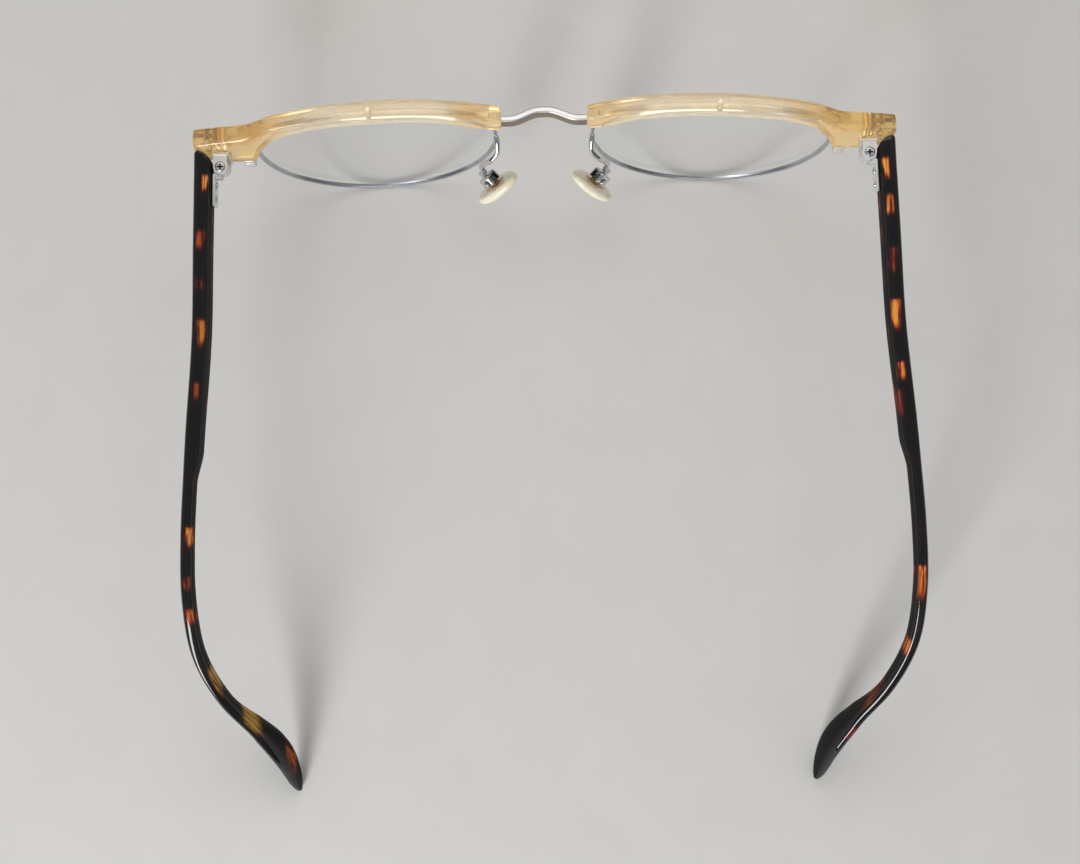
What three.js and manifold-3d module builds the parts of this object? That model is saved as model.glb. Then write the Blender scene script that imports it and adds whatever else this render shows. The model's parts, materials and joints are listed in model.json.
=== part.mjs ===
// Browline eyeglasses: acetate brows over thin metal eyewires, metal bridge, acetate temples.
// Millimetres, +Z up, the wearer looks along +Y and the wearer's right is +X.
// The glasses stand on the bottoms of the eyewires and the tips of the temples.
import * as THREE from "three";
import { mergeVertices } from "three/addons/utils/BufferGeometryUtils.js";
import Module from "manifold-3d";

const wasm = await Module();
wasm.setup();

// ---- driving dimensions -------------------------------------------------------------------
const LENS_WIDTH = 47.4;
const LENS_HEIGHT = 38;
const BRIDGE_GAP = 20.4; // between the two lenses
const FRONT_WIDTH = 137.8; // over both end pieces
const LENS_ABOVE_WIDEST = 12.6; // height of the lens above its widest level
const LENS_POWER_ABOVE = 3; // superellipse powers: squarer above, rounder below
const LENS_POWER_BELOW = 2.05;
const LENS_HALF_THICK = 0.75;
const LENS_BEVEL = 0.3;
const LENS_RIM_INSET = 0.2; // the faces end this far inside the outline
const LENS_RINGS = [0.35, 0.7]; // shares of the outline, to follow the curve of the faces
const BASE_RADIUS = 200; // curve of the lenses and of the brows
const WRAP = THREE.MathUtils.degToRad(2.5); // each lens turned towards the temple
const TILT = THREE.MathUtils.degToRad(12.3); // the front leans forward at the top
const EYEWIRE_DEPTH = 1.2;
const EYEWIRE_RADIAL = 0.7;
const GROOVE = 0.35;
const EYEWIRE_BOTTOM = 0.2; // lowest point of the eyewire in the front's own frame

const BROW_FRONT = 1.7; // brow faces, measured from the middle of the lens
const BROW_REAR = 1.9;
const BROW_NASAL = 8.4; // distance of the inner end from the middle
const BROW_LIP = 1.1; // how far the lower edge laps the lens
const BROW_CORNER = 0.9;
const BROW_END_CHAMFER = 0.4;
const BROW_TOP_HEIGHTS = [39.6, 41.5, 42.5, 42, 40.2, 37.8]; // of the upper edge at BROW_TOP_AT
const BROW_TOP_AT = [BROW_NASAL, 17, 30, 44, 57, FRONT_WIDTH / 2];
const NASAL_BOTTOM = 34.6; // lower edge at the inner end
const END_PIECE_FROM = 53; // the brow turns into the end piece between these
const END_PIECE_TO = 59.5;
const END_PIECE_FRONT = -1.3;
const END_PIECE_REAR = -5.5;
const END_PIECE_BOTTOM = 28.5;
const END_PIECE_RISE = 1.6; // of the lower edge, from END_PIECE_RISE_FROM to the outer end
const END_PIECE_RISE_FROM = 62;

const FRONT_FOOT = 54.4; // where the plane of the front meets the ground
const HINGE_X = 64;
const HINGE_Y = FRONT_FOOT - 0.75;
const HINGE_BOTTOM = 30.6;
const KNUCKLE_RADIUS = 1.35;
const KNUCKLE_HEIGHT = 0.86;
const KNUCKLE_GAP = 0.14;
const KNUCKLES = 5;

const TEMPLE_THICK = 3.4;
const TEMPLE_THIN = 2.5; // behind the step in the inner face
const TEMPLE_TIP_THICK = 2.9; // in the paddle
const TEMPLE_FRONT_HEIGHT = 6.6;
const TEMPLE_MIDDLE_HEIGHT = 4.9;
const TEMPLE_TIP_HEIGHT = 9.6;
const TEMPLE_CORNER = 0.75;
const TEMPLE_CORNER_SHARE = 0.35; // at most this much of the section
const CORE_WIDTH = 0.8;
const CORE_HEIGHT = 1.3;
const CORE_CORNER = 0.2;

const PAD_WIDTH = 7.4;
const PAD_HEIGHT = 12.6;
const PAD_THICK = 2.4;
const PAD_CENTRE = new THREE.Vector3(9.5, -7, 15.8);
const PAD_SPLAY = THREE.MathUtils.degToRad(38); // width direction, away from straight back
const PAD_LEAN = THREE.MathUtils.degToRad(34); // top towards the nose
const PAD_SCREW_BEHIND = 2.55; // pad screw axis behind the middle of the pad

const FIT = 0.1; // between parts that rest on each other
const CLEARANCE = 0.3; // round parts that are let into a cut
const HOLE_FIT = 0.12; // round a pin, on the radius
const HOLE_DEEPER = 0.2; // a blind hole goes past the end of its pin
const OVER = 1; // a cutting tool reaches past the faces it opens

const OUTLINE_STEPS = 48;
const LENS_X = BRIDGE_GAP / 2 + LENS_WIDTH / 2;
const LENS_BELOW_WIDEST = LENS_HEIGHT - LENS_ABOVE_WIDEST;
const WIDEST_Z = EYEWIRE_BOTTOM + EYEWIRE_RADIAL + FIT + LENS_BELOW_WIDEST;
const LENS_MIDDLE_Z = WIDEST_Z + (LENS_ABOVE_WIDEST - LENS_BELOW_WIDEST) / 2;
const END_X = FRONT_WIDTH / 2;

// ---- materials ----------------------------------------------------------------------------
const finish = (color, roughness, metalness, opacity = 1) => () =>
  new THREE.MeshStandardMaterial({ color, roughness, metalness, opacity, transparent: opacity < 1 });
const champagne = finish(0xe3c08a, 0.12, 0, 0.75);
const tortoise = finish(0x3a1a10, 0.12, 0);
const nickel = finish(0xc3c4c4, 0.3, 1);
const chrome = finish(0xdadcde, 0.1, 1);
const glass = finish(0xf4f8f8, 0.03, 0, 0.25);
const silicone = finish(0xe9dfc2, 0.35, 0, 0.9);
const brassInsert = finish(0xb98a4c, 0.3, 1);

// ---- helpers ------------------------------------------------------------------------------
const V = (x, y, z) => new THREE.Vector3(x, y, z);
const ramp = (x, from, to) => THREE.MathUtils.smoothstep(x, from, to);
const mix = THREE.MathUtils.lerp;

function part(name, geometry, material) {
  const mesh = new THREE.Mesh(geometry, material());
  mesh.name = name;
  return mesh;
}

function turnedOut(points, faces) {
  let volume = 0;
  for (let i = 0; i < faces.length; i += 3) {
    const [a, b, c] = faces.slice(i, i + 3).map((index) => points[index]);
    volume += a.dot(b.clone().cross(c));
  }
  return volume < 0 ? faces.reverse() : faces;
}

// A closed solid through rings of equally many points. Its ends are fans, or it is a closed loop.
function loft(rings, loop = false) {
  const size = rings[0].length;
  const points = rings.flat();
  const faces = [];
  const bands = loop ? rings.length : rings.length - 1;
  for (let r = 0; r < bands; r++) {
    const next = ((r + 1) % rings.length) * size;
    for (let i = 0; i < size; i++) {
      const j = (i + 1) % size;
      faces.push(r * size + i, r * size + j, next + j);
      faces.push(r * size + i, next + j, next + i);
    }
  }
  if (!loop) {
    [[0, true], [rings.length - 1, false]].forEach(([r, first]) => {
      const middle = points.length;
      points.push(rings[r].reduce((sum, p) => sum.add(p), V(0, 0, 0)).divideScalar(size));
      for (let i = 0; i < size; i++) {
        const [a, b] = [r * size + i, r * size + ((i + 1) % size)];
        faces.push(...(first ? [b, a, middle] : [a, b, middle]));
      }
    });
  }
  return new THREE.BufferGeometry().setFromPoints(points).setIndex(turnedOut(points, faces));
}

const box = (x0, x1, y0, y1, z0, z1) =>
  new THREE.BoxGeometry(x1 - x0, y1 - y0, z1 - z0)
    .translate((x0 + x1) / 2, (y0 + y1) / 2, (z0 + z1) / 2);

// A round bar from one point to another.
function bar(from, to, radius, sides = 16) {
  const along = to.clone().sub(from);
  const turn = new THREE.Quaternion().setFromUnitVectors(V(0, 1, 0), along.clone().normalize());
  return new THREE.CylinderGeometry(radius, radius, along.length(), sides)
    .applyQuaternion(turn)
    .translate(...from.clone().add(to).divideScalar(2).toArray());
}

function toSolid(geometry) {
  const bare = geometry.clone();
  bare.deleteAttribute("normal");
  bare.deleteAttribute("uv");
  const merged = mergeVertices(bare);
  return new wasm.Manifold(
    new wasm.Mesh({
      numProp: 3,
      vertProperties: merged.attributes.position.array,
      triVerts: new Uint32Array(merged.index.array),
    }),
  );
}

function fromSolid(solid) {
  const mesh = solid.getMesh();
  return new THREE.BufferGeometry()
    .setAttribute("position", new THREE.BufferAttribute(mesh.vertProperties, 3))
    .setIndex(new THREE.BufferAttribute(mesh.triVerts, 1));
}

const join = (...geometries) => fromSolid(geometries.map(toSolid).reduce((a, b) => a.add(b)));
const cut = (geometry, ...tools) =>
  fromSolid(tools.map(toSolid).reduce((a, b) => a.subtract(b), toSolid(geometry)));

// ---- the lens outline and its curved surface, in the front's own frame --------------------------
function lensPoint(angle) {
  const [c, s] = [Math.cos(angle), Math.sin(angle)];
  const power = 2 / (s >= 0 ? LENS_POWER_ABOVE : LENS_POWER_BELOW);
  const height = s >= 0 ? LENS_ABOVE_WIDEST : LENS_BELOW_WIDEST;
  const out = (value, size) => Math.sign(value) * Math.abs(value) ** power * size;
  return new THREE.Vector2(out(c, LENS_WIDTH / 2), out(s, height));
}

const OUTLINE = Array.from({ length: OUTLINE_STEPS }, (_, i) =>
  lensPoint((i / OUTLINE_STEPS) * 2 * Math.PI),
);

// Depth of the middle of the lens: a sphere of the base curve, turned by the wrap.
function lensDepth(x, z) {
  const [u, v] = [x - LENS_X, z - LENS_MIDDLE_Z];
  return ((LENS_HEIGHT / 2) ** 2 - u * u - v * v) / (2 * BASE_RADIUS) - u * Math.tan(WRAP);
}

function onLens(u, v, depth) {
  const [x, z] = [LENS_X + u, WIDEST_Z + v];
  return V(x, lensDepth(x, z) + depth, z);
}

// The outline moved outwards, with a depth in front of the middle of the lens.
function outlinePoint(i, outwards, depth, shift = 0) {
  const [before, after] = [OUTLINE.at(i - 1), OUTLINE[(i + 1) % OUTLINE_STEPS]];
  const along = after.clone().sub(before).normalize();
  const here = OUTLINE[i % OUTLINE_STEPS];
  return onLens(here.x + along.y * outwards, here.y - along.x * outwards + shift, depth);
}

const outlineRing = (outwards, depth) => OUTLINE.map((_, i) => outlinePoint(i, outwards, depth));

function lensGeometry() {
  const half = LENS_HALF_THICK;
  const face = (depth) =>
    LENS_RINGS.map((scale) => OUTLINE.map((p) => onLens(p.x * scale, p.y * scale, depth)));
  return loft([
    ...face(-half),
    outlineRing(-LENS_RIM_INSET, -half),
    outlineRing(LENS_BEVEL, 0),
    outlineRing(-LENS_RIM_INSET, half),
    ...face(half).reverse(),
  ]);
}

// ---- eyewire: a grooved wire round the lens, open at the closing block ------------------------
const EYEWIRE_SECTION = [
  [FIT, -EYEWIRE_DEPTH / 2],
  [FIT + EYEWIRE_RADIAL, -EYEWIRE_DEPTH / 2],
  [FIT + EYEWIRE_RADIAL, EYEWIRE_DEPTH / 2],
  [FIT, EYEWIRE_DEPTH / 2],
  [FIT + GROOVE, 0],
];

function eyewireGeometry() {
  const ring = (i, shift = 0) =>
    EYEWIRE_SECTION.map(([outwards, depth]) => outlinePoint(i, outwards, depth, shift));
  const rings = OUTLINE.slice(1).map((_, i) => ring(i + 1));
  return loft([ring(0, CLEARANCE / 2), ...rings, ring(0, -CLEARANCE / 2)]);
}

// ---- closing block: two barrels on the eyewire's ends, drawn together by a screw ----------------
const BLOCK_X = LENS_X + LENS_WIDTH / 2 + EYEWIRE_RADIAL + 2 * FIT;
const BLOCK_WIDTH = 2;
const BLOCK = { x0: BLOCK_X, x1: BLOCK_X + BLOCK_WIDTH, y0: -4.6, y1: -1.1, above: 1.1, below: 2.2 };
BLOCK.screw = V(BLOCK_X + BLOCK_WIDTH / 2, -3.5, 0);
const BLOCK_SCREW = { radius: 0.45, head: 0.85, headHeight: 0.4, slotHalf: 0.14, slotDeep: 0.2 };

function closingBlock(z0, z1) {
  const [from, to] = [z0 - OVER, z1 + OVER].map((z) => BLOCK.screw.clone().setZ(z));
  const hole = bar(from, to, BLOCK_SCREW.radius + FIT);
  return cut(box(BLOCK.x0, BLOCK.x1, BLOCK.y0, BLOCK.y1, z0, z1), hole);
}

// A screw along +Z with its head's top at z1 and one straight slot.
function closingScrewGeometry(z0, z1) {
  const { radius, head, headHeight, slotHalf, slotDeep } = BLOCK_SCREW;
  const { x, y } = BLOCK.screw;
  const up = (z) => V(x, y, z);
  const slot = box(x - head, x + head, y - slotHalf, y + slotHalf, z1 - slotDeep, z1 + OVER);
  const shank = bar(up(z0), up(z1 - headHeight / 2), radius);
  return cut(join(shank, bar(up(z1 - headHeight), up(z1), head)), slot);
}

// ---- brow and end piece ------------------------------------------------------------------------
const lensTop = (x) => {
  const across = Math.min(1, Math.abs(x - LENS_X) / (LENS_WIDTH / 2));
  return WIDEST_Z + LENS_ABOVE_WIDEST * (1 - across ** LENS_POWER_ABOVE) ** (1 / LENS_POWER_ABOVE);
};

const BROW_TOP = new THREE.SplineCurve(
  BROW_TOP_AT.map((x, i) => new THREE.Vector2(x, BROW_TOP_HEIGHTS[i])),
);
const BROW_TOP_SAMPLES = BROW_TOP.getPoints(80);

function browTop(x) {
  const next = BROW_TOP_SAMPLES.findIndex((p) => p.x >= x - Number.EPSILON * END_X);
  const i = Math.max(1, next);
  const [a, b] = [BROW_TOP_SAMPLES[i - 1], BROW_TOP_SAMPLES[i]];
  return mix(a.y, b.y, (x - a.x) / (b.x - a.x));
}

function browBottom(x) {
  const lowest = x < LENS_X ? NASAL_BOTTOM : END_PIECE_BOTTOM;
  const rise = END_PIECE_RISE * ramp(x, END_PIECE_RISE_FROM, END_X);
  return Math.max(lowest, lensTop(x) - BROW_LIP) + rise;
}

function browFaces(x) {
  const surface = lensDepth(x, LENS_MIDDLE_Z + LENS_HEIGHT / 2);
  const end = ramp(x, END_PIECE_FROM, END_PIECE_TO);
  return {
    front: mix(surface + BROW_FRONT, END_PIECE_FRONT, end),
    rear: mix(surface - BROW_REAR, END_PIECE_REAR, end),
  };
}

// A rectangle with rounded corners, given as pairs, counter-clockwise.
function roundedRectangle(a0, a1, b0, b1, radius, cornerSteps = 2) {
  const corners = [[a1, b1, 0], [a0, b1, 1], [a0, b0, 2], [a1, b0, 3]];
  return corners.flatMap(([a, b, quarter]) =>
    Array.from({ length: cornerSteps + 1 }, (_, i) => {
      const angle = (quarter + i / cornerSteps) * (Math.PI / 2);
      const inA = a - Math.sign(a - (a0 + a1) / 2) * radius;
      const inB = b - Math.sign(b - (b0 + b1) / 2) * radius;
      return [inA + radius * Math.cos(angle), inB + radius * Math.sin(angle)];
    }),
  );
}

function browRing(x, shrink = 0) {
  const { front, rear } = browFaces(x);
  return roundedRectangle(rear + shrink, front - shrink,
    browBottom(x) + shrink, browTop(x) - shrink, BROW_CORNER - shrink / 2)
    .map(([y, z]) => V(x, y, z));
}

const BROW_STATIONS = [
  BROW_NASAL + BROW_END_CHAMFER, 10.5, 12, 13.5, 15.5, 18, 21.5, 26, 31, 36, 41, 45, 48.5, 51.5,
  53.7, 55.3, 56.4, 57.2, 57.8, 59.6, 62, 64, 66, END_X - 1.5, END_X - BROW_END_CHAMFER,
];

const PLAQUE = {
  x: 65.3, z: 34, halfLength: 1.8, halfHeight: 1.05, proud: 0.5, edge: 0.15,
  pin: 0.45, pinAt: 0.9, pinDeep: 1.6,
};
const BROW_SCREW = { x: 34.2, radius: 0.42, length: 2 };
const RIVET = { x: 62.9, z: [31.8, 35], radius: 0.5 };
const CHANNEL_SIDE = 0.22; // between the lens and each side of the brow's channel
const CHANNEL_INNER = -3; // the channel reaches in over the lens by this much

function browGeometry() {
  const solid = loft([
    browRing(BROW_NASAL, BROW_END_CHAMFER),
    ...BROW_STATIONS.map((x) => browRing(x)),
    browRing(END_X, BROW_END_CHAMFER),
  ]);
  const half = LENS_HALF_THICK + CHANNEL_SIDE;
  const outer = FIT + EYEWIRE_RADIAL + CLEARANCE;
  const section = [[CHANNEL_INNER, -half], [outer, -half], [outer, half], [CHANNEL_INNER, half]];
  const channel = loft(
    OUTLINE.map((_, i) => section.map(([outwards, depth]) => outlinePoint(i, outwards, depth))),
    true,
  );
  const rivetHoles = RIVET.z.map((z) =>
    bar(V(RIVET.x, END_PIECE_REAR - OVER, z), V(RIVET.x, END_PIECE_FRONT + OVER, z),
      RIVET.radius + HOLE_FIT));
  const pinHoles = plaquePins().map(([from, to]) =>
    bar(from.clone().setY(from.y - HOLE_DEEPER), to.clone().setY(to.y + OVER), PLAQUE.pin + HOLE_FIT));
  const [low, high] = browScrewEnds();
  const screwHole = bar(low, high.clone().setZ(high.z + HOLE_DEEPER), BROW_SCREW.radius + HOLE_FIT);
  return cut(solid, channel, screwHole, ...rivetHoles, ...pinHoles);
}

// The screw that holds the brow down on the eyewire stands on the eyewire's outer side.
function browScrewEnds() {
  const z = lensTop(BROW_SCREW.x) + FIT + EYEWIRE_RADIAL + FIT;
  const y = lensDepth(BROW_SCREW.x, z);
  return [V(BROW_SCREW.x, y, z), V(BROW_SCREW.x, y, z + BROW_SCREW.length)];
}

const browScrewGeometry = () => bar(...browScrewEnds(), BROW_SCREW.radius, 12);

// ---- decorative plaque on the end piece, with two pins -----------------------------------------
function plaquePins() {
  return [-1, 1].map((side) => {
    const x = PLAQUE.x + side * PLAQUE.pinAt;
    return [V(x, END_PIECE_FRONT - PLAQUE.pinDeep, PLAQUE.z), V(x, END_PIECE_FRONT + 2 * FIT, PLAQUE.z)];
  });
}

function plaqueGeometry() {
  const shape = new THREE.Shape();
  const { halfLength: a, halfHeight: b, proud, edge } = PLAQUE;
  shape.absarc(a - b, 0, b, -Math.PI / 2, Math.PI / 2);
  shape.absarc(b - a, 0, b, Math.PI / 2, (3 * Math.PI) / 2);
  const plate = new THREE.ExtrudeGeometry(shape, {
    depth: proud - 2 * edge, bevelThickness: edge, bevelSize: edge, bevelOffset: -edge,
    bevelSegments: 1, curveSegments: 5,
  });
  plate.rotateX(-Math.PI / 2).translate(PLAQUE.x, END_PIECE_FRONT + FIT + edge, PLAQUE.z);
  return join(plate, ...plaquePins().map(([from, to]) => bar(from, to, PLAQUE.pin, 12)));
}

const rivetGeometry = (z) =>
  bar(V(RIVET.x, END_PIECE_REAR + FIT, z), V(RIVET.x, END_PIECE_FRONT, z), RIVET.radius, 12);

// ---- bridge: a metal strip arched forwards between the eyewires ---------------------------------
const BRIDGE = {
  end: 9.5, z0: 31.4, z1: 34.2, thick: 1.4, corner: 0.35,
  ends: 0.6, arch: 1.8, archFrom: 6.8, archTop: 0.8, // forward of the middle of the lenses
};

function bridgeGeometry() {
  const { end, z0, z1, thick, corner, ends, arch, archFrom, archTop } = BRIDGE;
  const steps = 24;
  const near = 0.05; // the slope is taken between two points this far either side
  const centre = (x) => ends + arch * (1 - ramp(Math.abs(x), archTop, archFrom));
  const rings = Array.from({ length: steps + 1 }, (_, i) => {
    const x = mix(-end, end, i / steps);
    const slope = (centre(x + near) - centre(x - near)) / (2 * near);
    const length = Math.hypot(1, slope);
    return roundedRectangle(-thick / 2, thick / 2, z0, z1, corner, 1)
      .map(([across, z]) => V(x - (across * slope) / length, centre(x) + across / length, z));
  });
  return loft(rings);
}

// ---- nose pad, its stem, box, screw and arm ------------------------------------------------------
// The pad's own axes: up along its length, wide across it, and out towards the nose.
const PAD_UP = V(-Math.sin(PAD_LEAN), 0, Math.cos(PAD_LEAN));
const PAD_WIDE = V(Math.sin(PAD_SPLAY), -Math.cos(PAD_SPLAY), 0);
PAD_WIDE.addScaledVector(PAD_UP, -PAD_WIDE.dot(PAD_UP)).normalize();
const PAD_OUT = PAD_WIDE.clone().cross(PAD_UP);
const PAD_FRAME = new THREE.Matrix4().makeBasis(PAD_WIDE, PAD_OUT, PAD_UP).setPosition(PAD_CENTRE);
const PAD_BOX = { side: 1.55, wall: 0.55, height: 1.6, front: -1.65, back: -4, backWall: 0.5 };
const PAD_STEM = { side: 0.75, radius: 0.95, plateSide: 1.35, plateHalf: 2, plateOut: 0.15, plateIn: 0.65 };
const PAD_SOCKET_GAP = 0.15;
const PAD_SCREW = { radius: 0.35, head: 0.75, headHeight: 0.4, slotHalf: 0.12, slotDeep: 0.15 };

const PAD_FULLER = 0.1; // share by which the lower end is wider than the middle
// Sections from the back to the face towards the nose: share of the full oval, and distance out.
const PAD_SECTIONS = [[0.4, 0], [0.86, 0], [0.98, 0.5], [1, 0.9], [0.88, 1.6], [0.5, PAD_THICK]];

// An oval, fuller at its lower end, at a distance y out of the pad's middle.
function padOval(scale, y, steps = 20) {
  return Array.from({ length: steps }, (_, i) => {
    const angle = (i / steps) * 2 * Math.PI;
    const width = PAD_WIDTH * (1 - PAD_FULLER * Math.sin(angle));
    return V((width / 2) * Math.cos(angle) * scale, y, (PAD_HEIGHT / 2) * Math.sin(angle) * scale);
  });
}

function padGeometry() {
  const back = -PAD_THICK / 2;
  const cushion = loft(PAD_SECTIONS.map(([scale, out]) => padOval(scale, back + out)));
  const { plateSide, plateHalf, plateIn } = PAD_STEM;
  const [side, half] = [plateSide + PAD_SOCKET_GAP, plateHalf + PAD_SOCKET_GAP];
  const socket = box(-side, side, back - OVER, back + plateIn + PAD_SOCKET_GAP, -half, half);
  return cut(cushion, socket);
}

function padScrewHole() {
  const past = PAD_BOX.side + OVER;
  const [from, to] = [-past, past].map((x) => V(x, -PAD_SCREW_BEHIND, 0));
  return bar(from, to, PAD_SCREW.radius + FIT, 12);
}

function padStemGeometry() {
  const back = -PAD_THICK / 2;
  const { side, radius, plateSide, plateHalf, plateOut, plateIn } = PAD_STEM;
  const plate = box(-plateSide, plateSide, back - plateOut, back + plateIn, -plateHalf, plateHalf);
  const neck = box(-side, side, -PAD_SCREW_BEHIND, back + plateIn / 2, -radius, radius);
  const eye = bar(V(-side, -PAD_SCREW_BEHIND, 0), V(side, -PAD_SCREW_BEHIND, 0), radius);
  return cut(join(plate, neck, eye), padScrewHole());
}

function padBoxGeometry() {
  const { side, wall, height, front, back, backWall } = PAD_BOX;
  const outer = box(-side, side, back, front, -height, height);
  const inner = box(wall - side, side - wall, back + backWall, 0, -height - OVER, height + OVER);
  return cut(outer, inner, padScrewHole());
}

function padScrewGeometry() {
  const { radius, head, headHeight, slotHalf, slotDeep } = PAD_SCREW;
  const at = (x) => V(x, -PAD_SCREW_BEHIND, 0);
  const top = PAD_BOX.side + FIT + headHeight;
  const shank = bar(at(-PAD_BOX.side), at(PAD_BOX.side + 2 * FIT), radius, 12);
  const [y0, y1] = [-slotHalf, slotHalf].map((y) => y - PAD_SCREW_BEHIND);
  const slot = box(top - slotDeep, top + OVER, y0, y1, -OVER, OVER);
  return cut(join(shank, bar(at(top - headHeight), at(top), head)), slot);
}

const ARM_RADIUS = 0.58;
const ARM_ROUTE = [
  [9.7, -1.1, 30.2], [9.5, -2.6, 29.5], [9.6, -4, 27.6], [10.9, -4.8, 25.8], [12.2, -4.8, 24],
  [12.9, -4.5, 21.3],
].map((point) => V(...point));
const ARM_FOOT = 0.4; // the arm runs down the back of the pad box from here
const ARM_TAIL = -1.2;
const ARM_LEAN = 0.1; // and away from it

function sweepRound(route, radius, steps, sides) {
  const circle = new THREE.Shape().absarc(0, 0, radius, 0, 2 * Math.PI);
  const curve = new THREE.CatmullRomCurve3(route);
  return new THREE.ExtrudeGeometry(circle, { steps, curveSegments: sides / 2, extrudePath: curve });
}

function padArmGeometry() {
  const behind = PAD_BOX.back - FIT - ARM_RADIUS;
  const foot = V(0, behind, ARM_FOOT).applyMatrix4(PAD_FRAME);
  const tail = V(0, behind - ARM_LEAN, ARM_TAIL).applyMatrix4(PAD_FRAME);
  return sweepRound([...ARM_ROUTE, foot, tail], ARM_RADIUS, 22, 8);
}

// ---- hinge ------------------------------------------------------------------------------------
const FRONT_FRAME = new THREE.Matrix4().makeRotationX(-TILT).setPosition(0, FRONT_FOOT, 0);
const HINGE_AXIS = V(HINGE_X, HINGE_Y, 0);
const HINGE_TOP = HINGE_BOTTOM + KNUCKLES * KNUCKLE_HEIGHT + (KNUCKLES - 1) * KNUCKLE_GAP;
const FLANGE = { x0: 62.25, x1: 65.5, thick: 0.55, z0: 30.1, z1: 35.2 };
const HINGE_SCREW = {
  radius: 0.5, head: 0.92, headHeight: 0.5, proud: 0.12, start: 0.1,
  cross: 0.62, crossHalf: 0.16, crossDeep: 0.36,
};
const hingeBar = (radius, z0, z1) =>
  bar(HINGE_AXIS.clone().setZ(z0), HINGE_AXIS.clone().setZ(z1), radius, 20);

// One knuckle plate: round about the axis, with a tongue to a box of the given extent.
function knuckle(level, x0, x1, y0, y1) {
  const z0 = HINGE_BOTTOM + level * (KNUCKLE_HEIGHT + KNUCKLE_GAP);
  const z1 = z0 + KNUCKLE_HEIGHT;
  return join(hingeBar(KNUCKLE_RADIUS, z0, z1), box(x0, x1, y0, y1, z0, z1));
}

// How far forward the middle plane of the flange is at a height above the ground.
function flangeMiddle(z) {
  const depth = END_PIECE_REAR - FIT - FLANGE.thick / 2;
  const up = (z + depth * Math.sin(TILT)) / Math.cos(TILT);
  return FRONT_FOOT + depth * Math.cos(TILT) + up * Math.sin(TILT);
}

function frontHingeGeometry() {
  const rear = END_PIECE_REAR - FIT;
  const flange = box(FLANGE.x0, FLANGE.x1, rear - FLANGE.thick, rear, FLANGE.z0, FLANGE.z1)
    .applyMatrix4(FRONT_FRAME);
  const knuckles = [0, 2, 4].map((level) => {
    const middle = HINGE_BOTTOM + level * (KNUCKLE_HEIGHT + KNUCKLE_GAP) + KNUCKLE_HEIGHT / 2;
    return knuckle(level, HINGE_X - KNUCKLE_RADIUS, HINGE_X + KNUCKLE_RADIUS, HINGE_Y, flangeMiddle(middle));
  });
  const bore = hingeBar(HINGE_SCREW.radius + FIT, HINGE_BOTTOM - OVER, HINGE_TOP + OVER);
  const sink = hingeBar(HINGE_SCREW.head + FIT, HINGE_TOP - HINGE_SCREW.headHeight, HINGE_TOP + OVER);
  return cut(join(flange, ...knuckles), bore, sink);
}

function hingeScrewGeometry() {
  const { radius, head, headHeight, proud, start, cross, crossHalf, crossDeep } = HINGE_SCREW;
  const top = HINGE_TOP + proud;
  const slots = [[cross, crossHalf], [crossHalf, cross]].map(([a, b]) =>
    box(HINGE_X - a, HINGE_X + a, HINGE_Y - b, HINGE_Y + b, top - crossDeep, top + OVER));
  const screw = join(
    hingeBar(radius, HINGE_BOTTOM + start, top - headHeight / 2),
    hingeBar(head, top - headHeight + FIT, top),
  );
  return cut(screw, ...slots);
}

// ---- temple: acetate with a metal core, a hinge leaf and two rivets ------------------------------
const TEMPLE_FRONT = V(67.3, 55.9, 33.7);
const TEMPLE_SECOND = V(67.9, 37.95, 34.2);
const TEMPLE_ROUTE = new THREE.CatmullRomCurve3([
  TEMPLE_FRONT, TEMPLE_SECOND, V(68.5, 20, 34.7), V(70.2, 0, 35.2), V(71.6, -20, 35.3),
  V(71.8, -32, 34.2), V(70.9, -43, 30), V(67.2, -53, 23.2), V(62, -60.6, 15.8), V(57.9, -67.8, 8.3),
  V(55.6, -76.3, 0.66),
]);
const TEMPLE_LENGTH = TEMPLE_ROUTE.getLength();
const TAPER_FROM = 5; // the temple gets lower
const TAPER_TO = 75;
const STEP_FROM = 58; // the inner face steps out to the thin rear part
const STEP_TO = 65;
const TIP_FROM = 112; // the temple starts to grow into its paddle
const TIP_TO = 134;
const TIP_ROUND = 18; // the paddle narrows to its point
const TIP_POWER = 1.9; // roundness of its outline
const TIP_LEAST = 0.1; // share of the height left at the point
const TIP_LEAST_THICK = 0.45;
const TIP_LAST = [2, 0.8]; // closer sections before the point
const TIP_ROLL = THREE.MathUtils.degToRad(9); // lower edge of the paddle turned towards the head
const FRONT_CORNER_CUT = 1.4;
const TEMPLE_STEPS = 48;
const CORE_FROM = 3;
const CORE_TO = 140;
const CORE_GAP = 0.15;
// The straight front part turns outwards going back.
const TEMPLE_YAW = Math.atan2(TEMPLE_SECOND.x - TEMPLE_FRONT.x, TEMPLE_FRONT.y - TEMPLE_SECOND.y);

// Middle, side and up directions of the temple at a distance behind its front end.
function templeFrame(s) {
  const at = Math.min(1, s / TEMPLE_LENGTH);
  const along = TEMPLE_ROUTE.getTangentAt(at);
  const side = V(-along.y, along.x, 0).normalize();
  side.applyAxisAngle(along, -TIP_ROLL * ramp(s, TIP_FROM, TIP_TO));
  return { middle: TEMPLE_ROUTE.getPointAt(at), side, up: along.clone().cross(side) };
}

function templeThickness(s) {
  const stem = mix(TEMPLE_THICK, TEMPLE_THIN, ramp(s, STEP_FROM, STEP_TO));
  return mix(stem, TEMPLE_TIP_THICK, ramp(s, TIP_FROM, TIP_TO));
}

function templeHeight(s) {
  const stem = mix(TEMPLE_FRONT_HEIGHT, TEMPLE_MIDDLE_HEIGHT, ramp(s, TAPER_FROM, TAPER_TO));
  return mix(stem, TEMPLE_TIP_HEIGHT, ramp(s, TIP_FROM, TIP_TO));
}

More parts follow.
